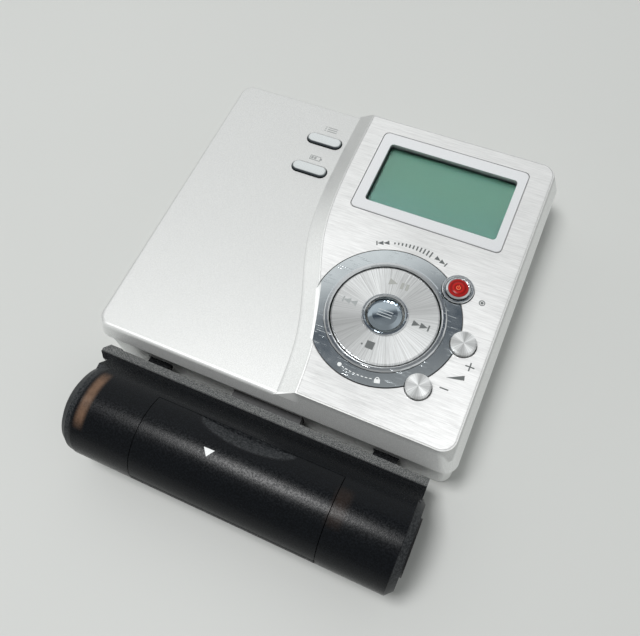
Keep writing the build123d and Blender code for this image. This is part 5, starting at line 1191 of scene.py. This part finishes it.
class DISCPLAYER_OT_drive(PlayerOperator):
    """Disc drive: chassis, motors, turntable, sled and the threaded lead screw"""

    bl_idname = "disc_player.drive"
    bl_label = "Disc drive"

    def execute(self, context):
        put_on(plain_metal("chassis_sheet", (0.52, 0.53, 0.52), 0.34, brushed=True), "chassis_plate")
        put_on(plain_metal("motor_can", (0.55, 0.55, 0.54), 0.30), "spindle_motor", "sled_motor")
        put_on(moulded("damper_rubber", BLACK_EDGE, 0.8, 3000.0), "chassis_dampers")
        put_on(moulded("turntable_black", (0.03, 0.03, 0.032), 0.42), "turntable")
        put_on(plain_metal("cast_sled", (0.42, 0.42, 0.43), 0.45, 1800.0), "pickup_sled")
        put_on(lens_glass("pickup_lens"), "pickup_lens")
        pitch = context.scene.disc_player_hardware.thread_pitch
        self.thread(pitch, plain_metal("screw_steel", (0.58, 0.58, 0.57), 0.22))
        return {"FINISHED"}

    def thread(self, pitch, material):
        """A threaded shaft swept along a helix by Geometry Nodes, in place of the plain one."""
        low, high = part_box("lead_screw")
        core = (high.z - low.z) / 2
        length = high.x - low.x
        start = (low.x, (low.y + high.y) / 2, (low.z + high.z) / 2)
        holder = carrier("lead_screw_seed")

        def build(graph, given):
            def shift(geometry, place, turn=(0.0, 0.0, 0.0)):
                inputs = {"Geometry": geometry, "Translation": place, "Rotation": turn}
                return graph.add("GeometryNodeTransform", inputs).outputs[0]

            helix = graph.add("GeometryNodeCurveSpiral", {
                "Resolution": 24, "Rotations": graph.calc("DIVIDE", given["Thread Length"], given["Pitch"]),
                "Start Radius": given["Core Radius"], "End Radius": given["Core Radius"],
                "Height": given["Thread Length"],
            }).outputs[0]
            tooth_inputs = {"Resolution": 4, "Radius": given["Tooth"]}
            tooth = graph.add("GeometryNodeCurvePrimitiveCircle", tooth_inputs, mode="RADIUS")
            ridge = graph.add("GeometryNodeCurveToMesh", {
                "Curve": helix, "Profile Curve": tooth.outputs[0], "Fill Caps": True}).outputs[0]
            shaft = graph.add("GeometryNodeMeshCylinder", {
                "Vertices": 24, "Radius": given["Core Radius"], "Depth": given["Length"]}).outputs[0]
            both = graph.add("GeometryNodeJoinGeometry")
            graph.feed(both.inputs[0], shift(ridge, graph.join(0.0, 0.0, given["Run In"])))
            graph.feed(both.inputs[0], shift(shaft, graph.join(0.0, 0.0, graph.times(given["Length"], 0.5))))
            return realised(graph, shift(both.outputs[0], start, (0.0, math.pi / 2, 0.0)), given["Finish"])

        node_modifier(holder, "lead_thread", [
            ("Length", FLOAT, length),
            ("Thread Length", FLOAT, length * 0.9),
            ("Run In", FLOAT, length * 0.05),
            ("Pitch", FLOAT, pitch),
            ("Core Radius", FLOAT, core * 0.8),
            ("Tooth", FLOAT, core * 0.2),
            ("Finish", "NodeSocketMaterial", material),
        ], build)
        piece = finished_object("lead_screw_thread", settle(holder), material, "lead_screw")
        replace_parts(piece, "lead_screw")


class DISCPLAYER_OT_boards(PlayerOperator):
    """Circuit boards, chips and jacks"""

    bl_idname = "disc_player.boards"
    bl_label = "Boards and jacks"

    def execute(self, context):
        put_on(board_mask((0.02, 0.12, 0.055)), "main_board", "key_board", "pill_board")
        black = moulded("chip_black", (0.022, 0.022, 0.024), 0.45)
        put_on(black, "board_chips", "headphone_jack", "power_jack", "case_socket", "case_plug", "end_disc")
        return {"FINISHED"}


class DISCPLAYER_OT_cell_case(PlayerOperator):
    """Clip-on cell case: smoke plastic, strap and the white mark on its door"""

    bl_idname = "disc_player.cell_case"
    bl_label = "Cell case"

    def execute(self, context):
        settings = context.scene.disc_player_case
        smoke = smoke_plastic(settings.smoke, settings.glow)
        put_on(smoke, "case_lower_shell", "case_upper_cover", "case_door")
        put_on(plain_metal("copper_strap", (0.62, 0.30, 0.14), 0.3), "contact_strap")
        white = print_ink("case_ink", settings.ink)
        lay_marks("door_mark", [DOOR_TRIANGLE], "case_door", white, "cell_door", lift=0.03, step=0.3)
        return {"FINISHED"}


class DISCPLAYER_PT_sidebar(bpy.types.Panel):
    bl_idname = "DISCPLAYER_PT_sidebar"
    bl_label = "Disc player"
    bl_space_type = "VIEW_3D"
    bl_region_type = "UI"
    bl_category = "Disc player"

    def draw(self, context):
        layout = self.layout
        for operator in OPERATORS:
            layout.operator(operator.bl_idname)
        for name, label, _ in SETTING_GROUPS:
            box = layout.box()
            box.label(text=label)
            group = getattr(context.scene, name)
            for key in group.__class__.__annotations__:
                box.prop(group, key)


OPERATORS = (
    DISCPLAYER_OT_stage, DISCPLAYER_OT_lid, DISCPLAYER_OT_display, DISCPLAYER_OT_keys, DISCPLAYER_OT_marks,
    DISCPLAYER_OT_base, DISCPLAYER_OT_drive, DISCPLAYER_OT_boards, DISCPLAYER_OT_cell_case,
)
SETTING_GROUPS = (
    ("disc_player_stage", "Stage", PlayerStageSettings), ("disc_player_body", "Player", PlayerBodySettings),
    ("disc_player_case", "Cell case", PlayerCaseSettings),
    ("disc_player_hardware", "Hardware", PlayerHardwareSettings),
)
CLASSES = tuple(group for _, _, group in SETTING_GROUPS) + OPERATORS + (DISCPLAYER_PT_sidebar,)


def register():
    for cls in CLASSES:
        bpy.utils.register_class(cls)
    for name, _, group in SETTING_GROUPS:
        setattr(bpy.types.Scene, name, PointerProperty(type=group))


def unregister():
    for name, _, _ in SETTING_GROUPS:
        delattr(bpy.types.Scene, name)
    for cls in reversed(CLASSES):
        bpy.utils.unregister_class(cls)


def main():
    register()
    for operator in OPERATORS:
        group, name = operator.bl_idname.split(".")
        if getattr(getattr(bpy.ops, group), name)() != {"FINISHED"}:
            raise RuntimeError(operator.bl_label + " did not finish")


if __name__ == "__main__":
    main()
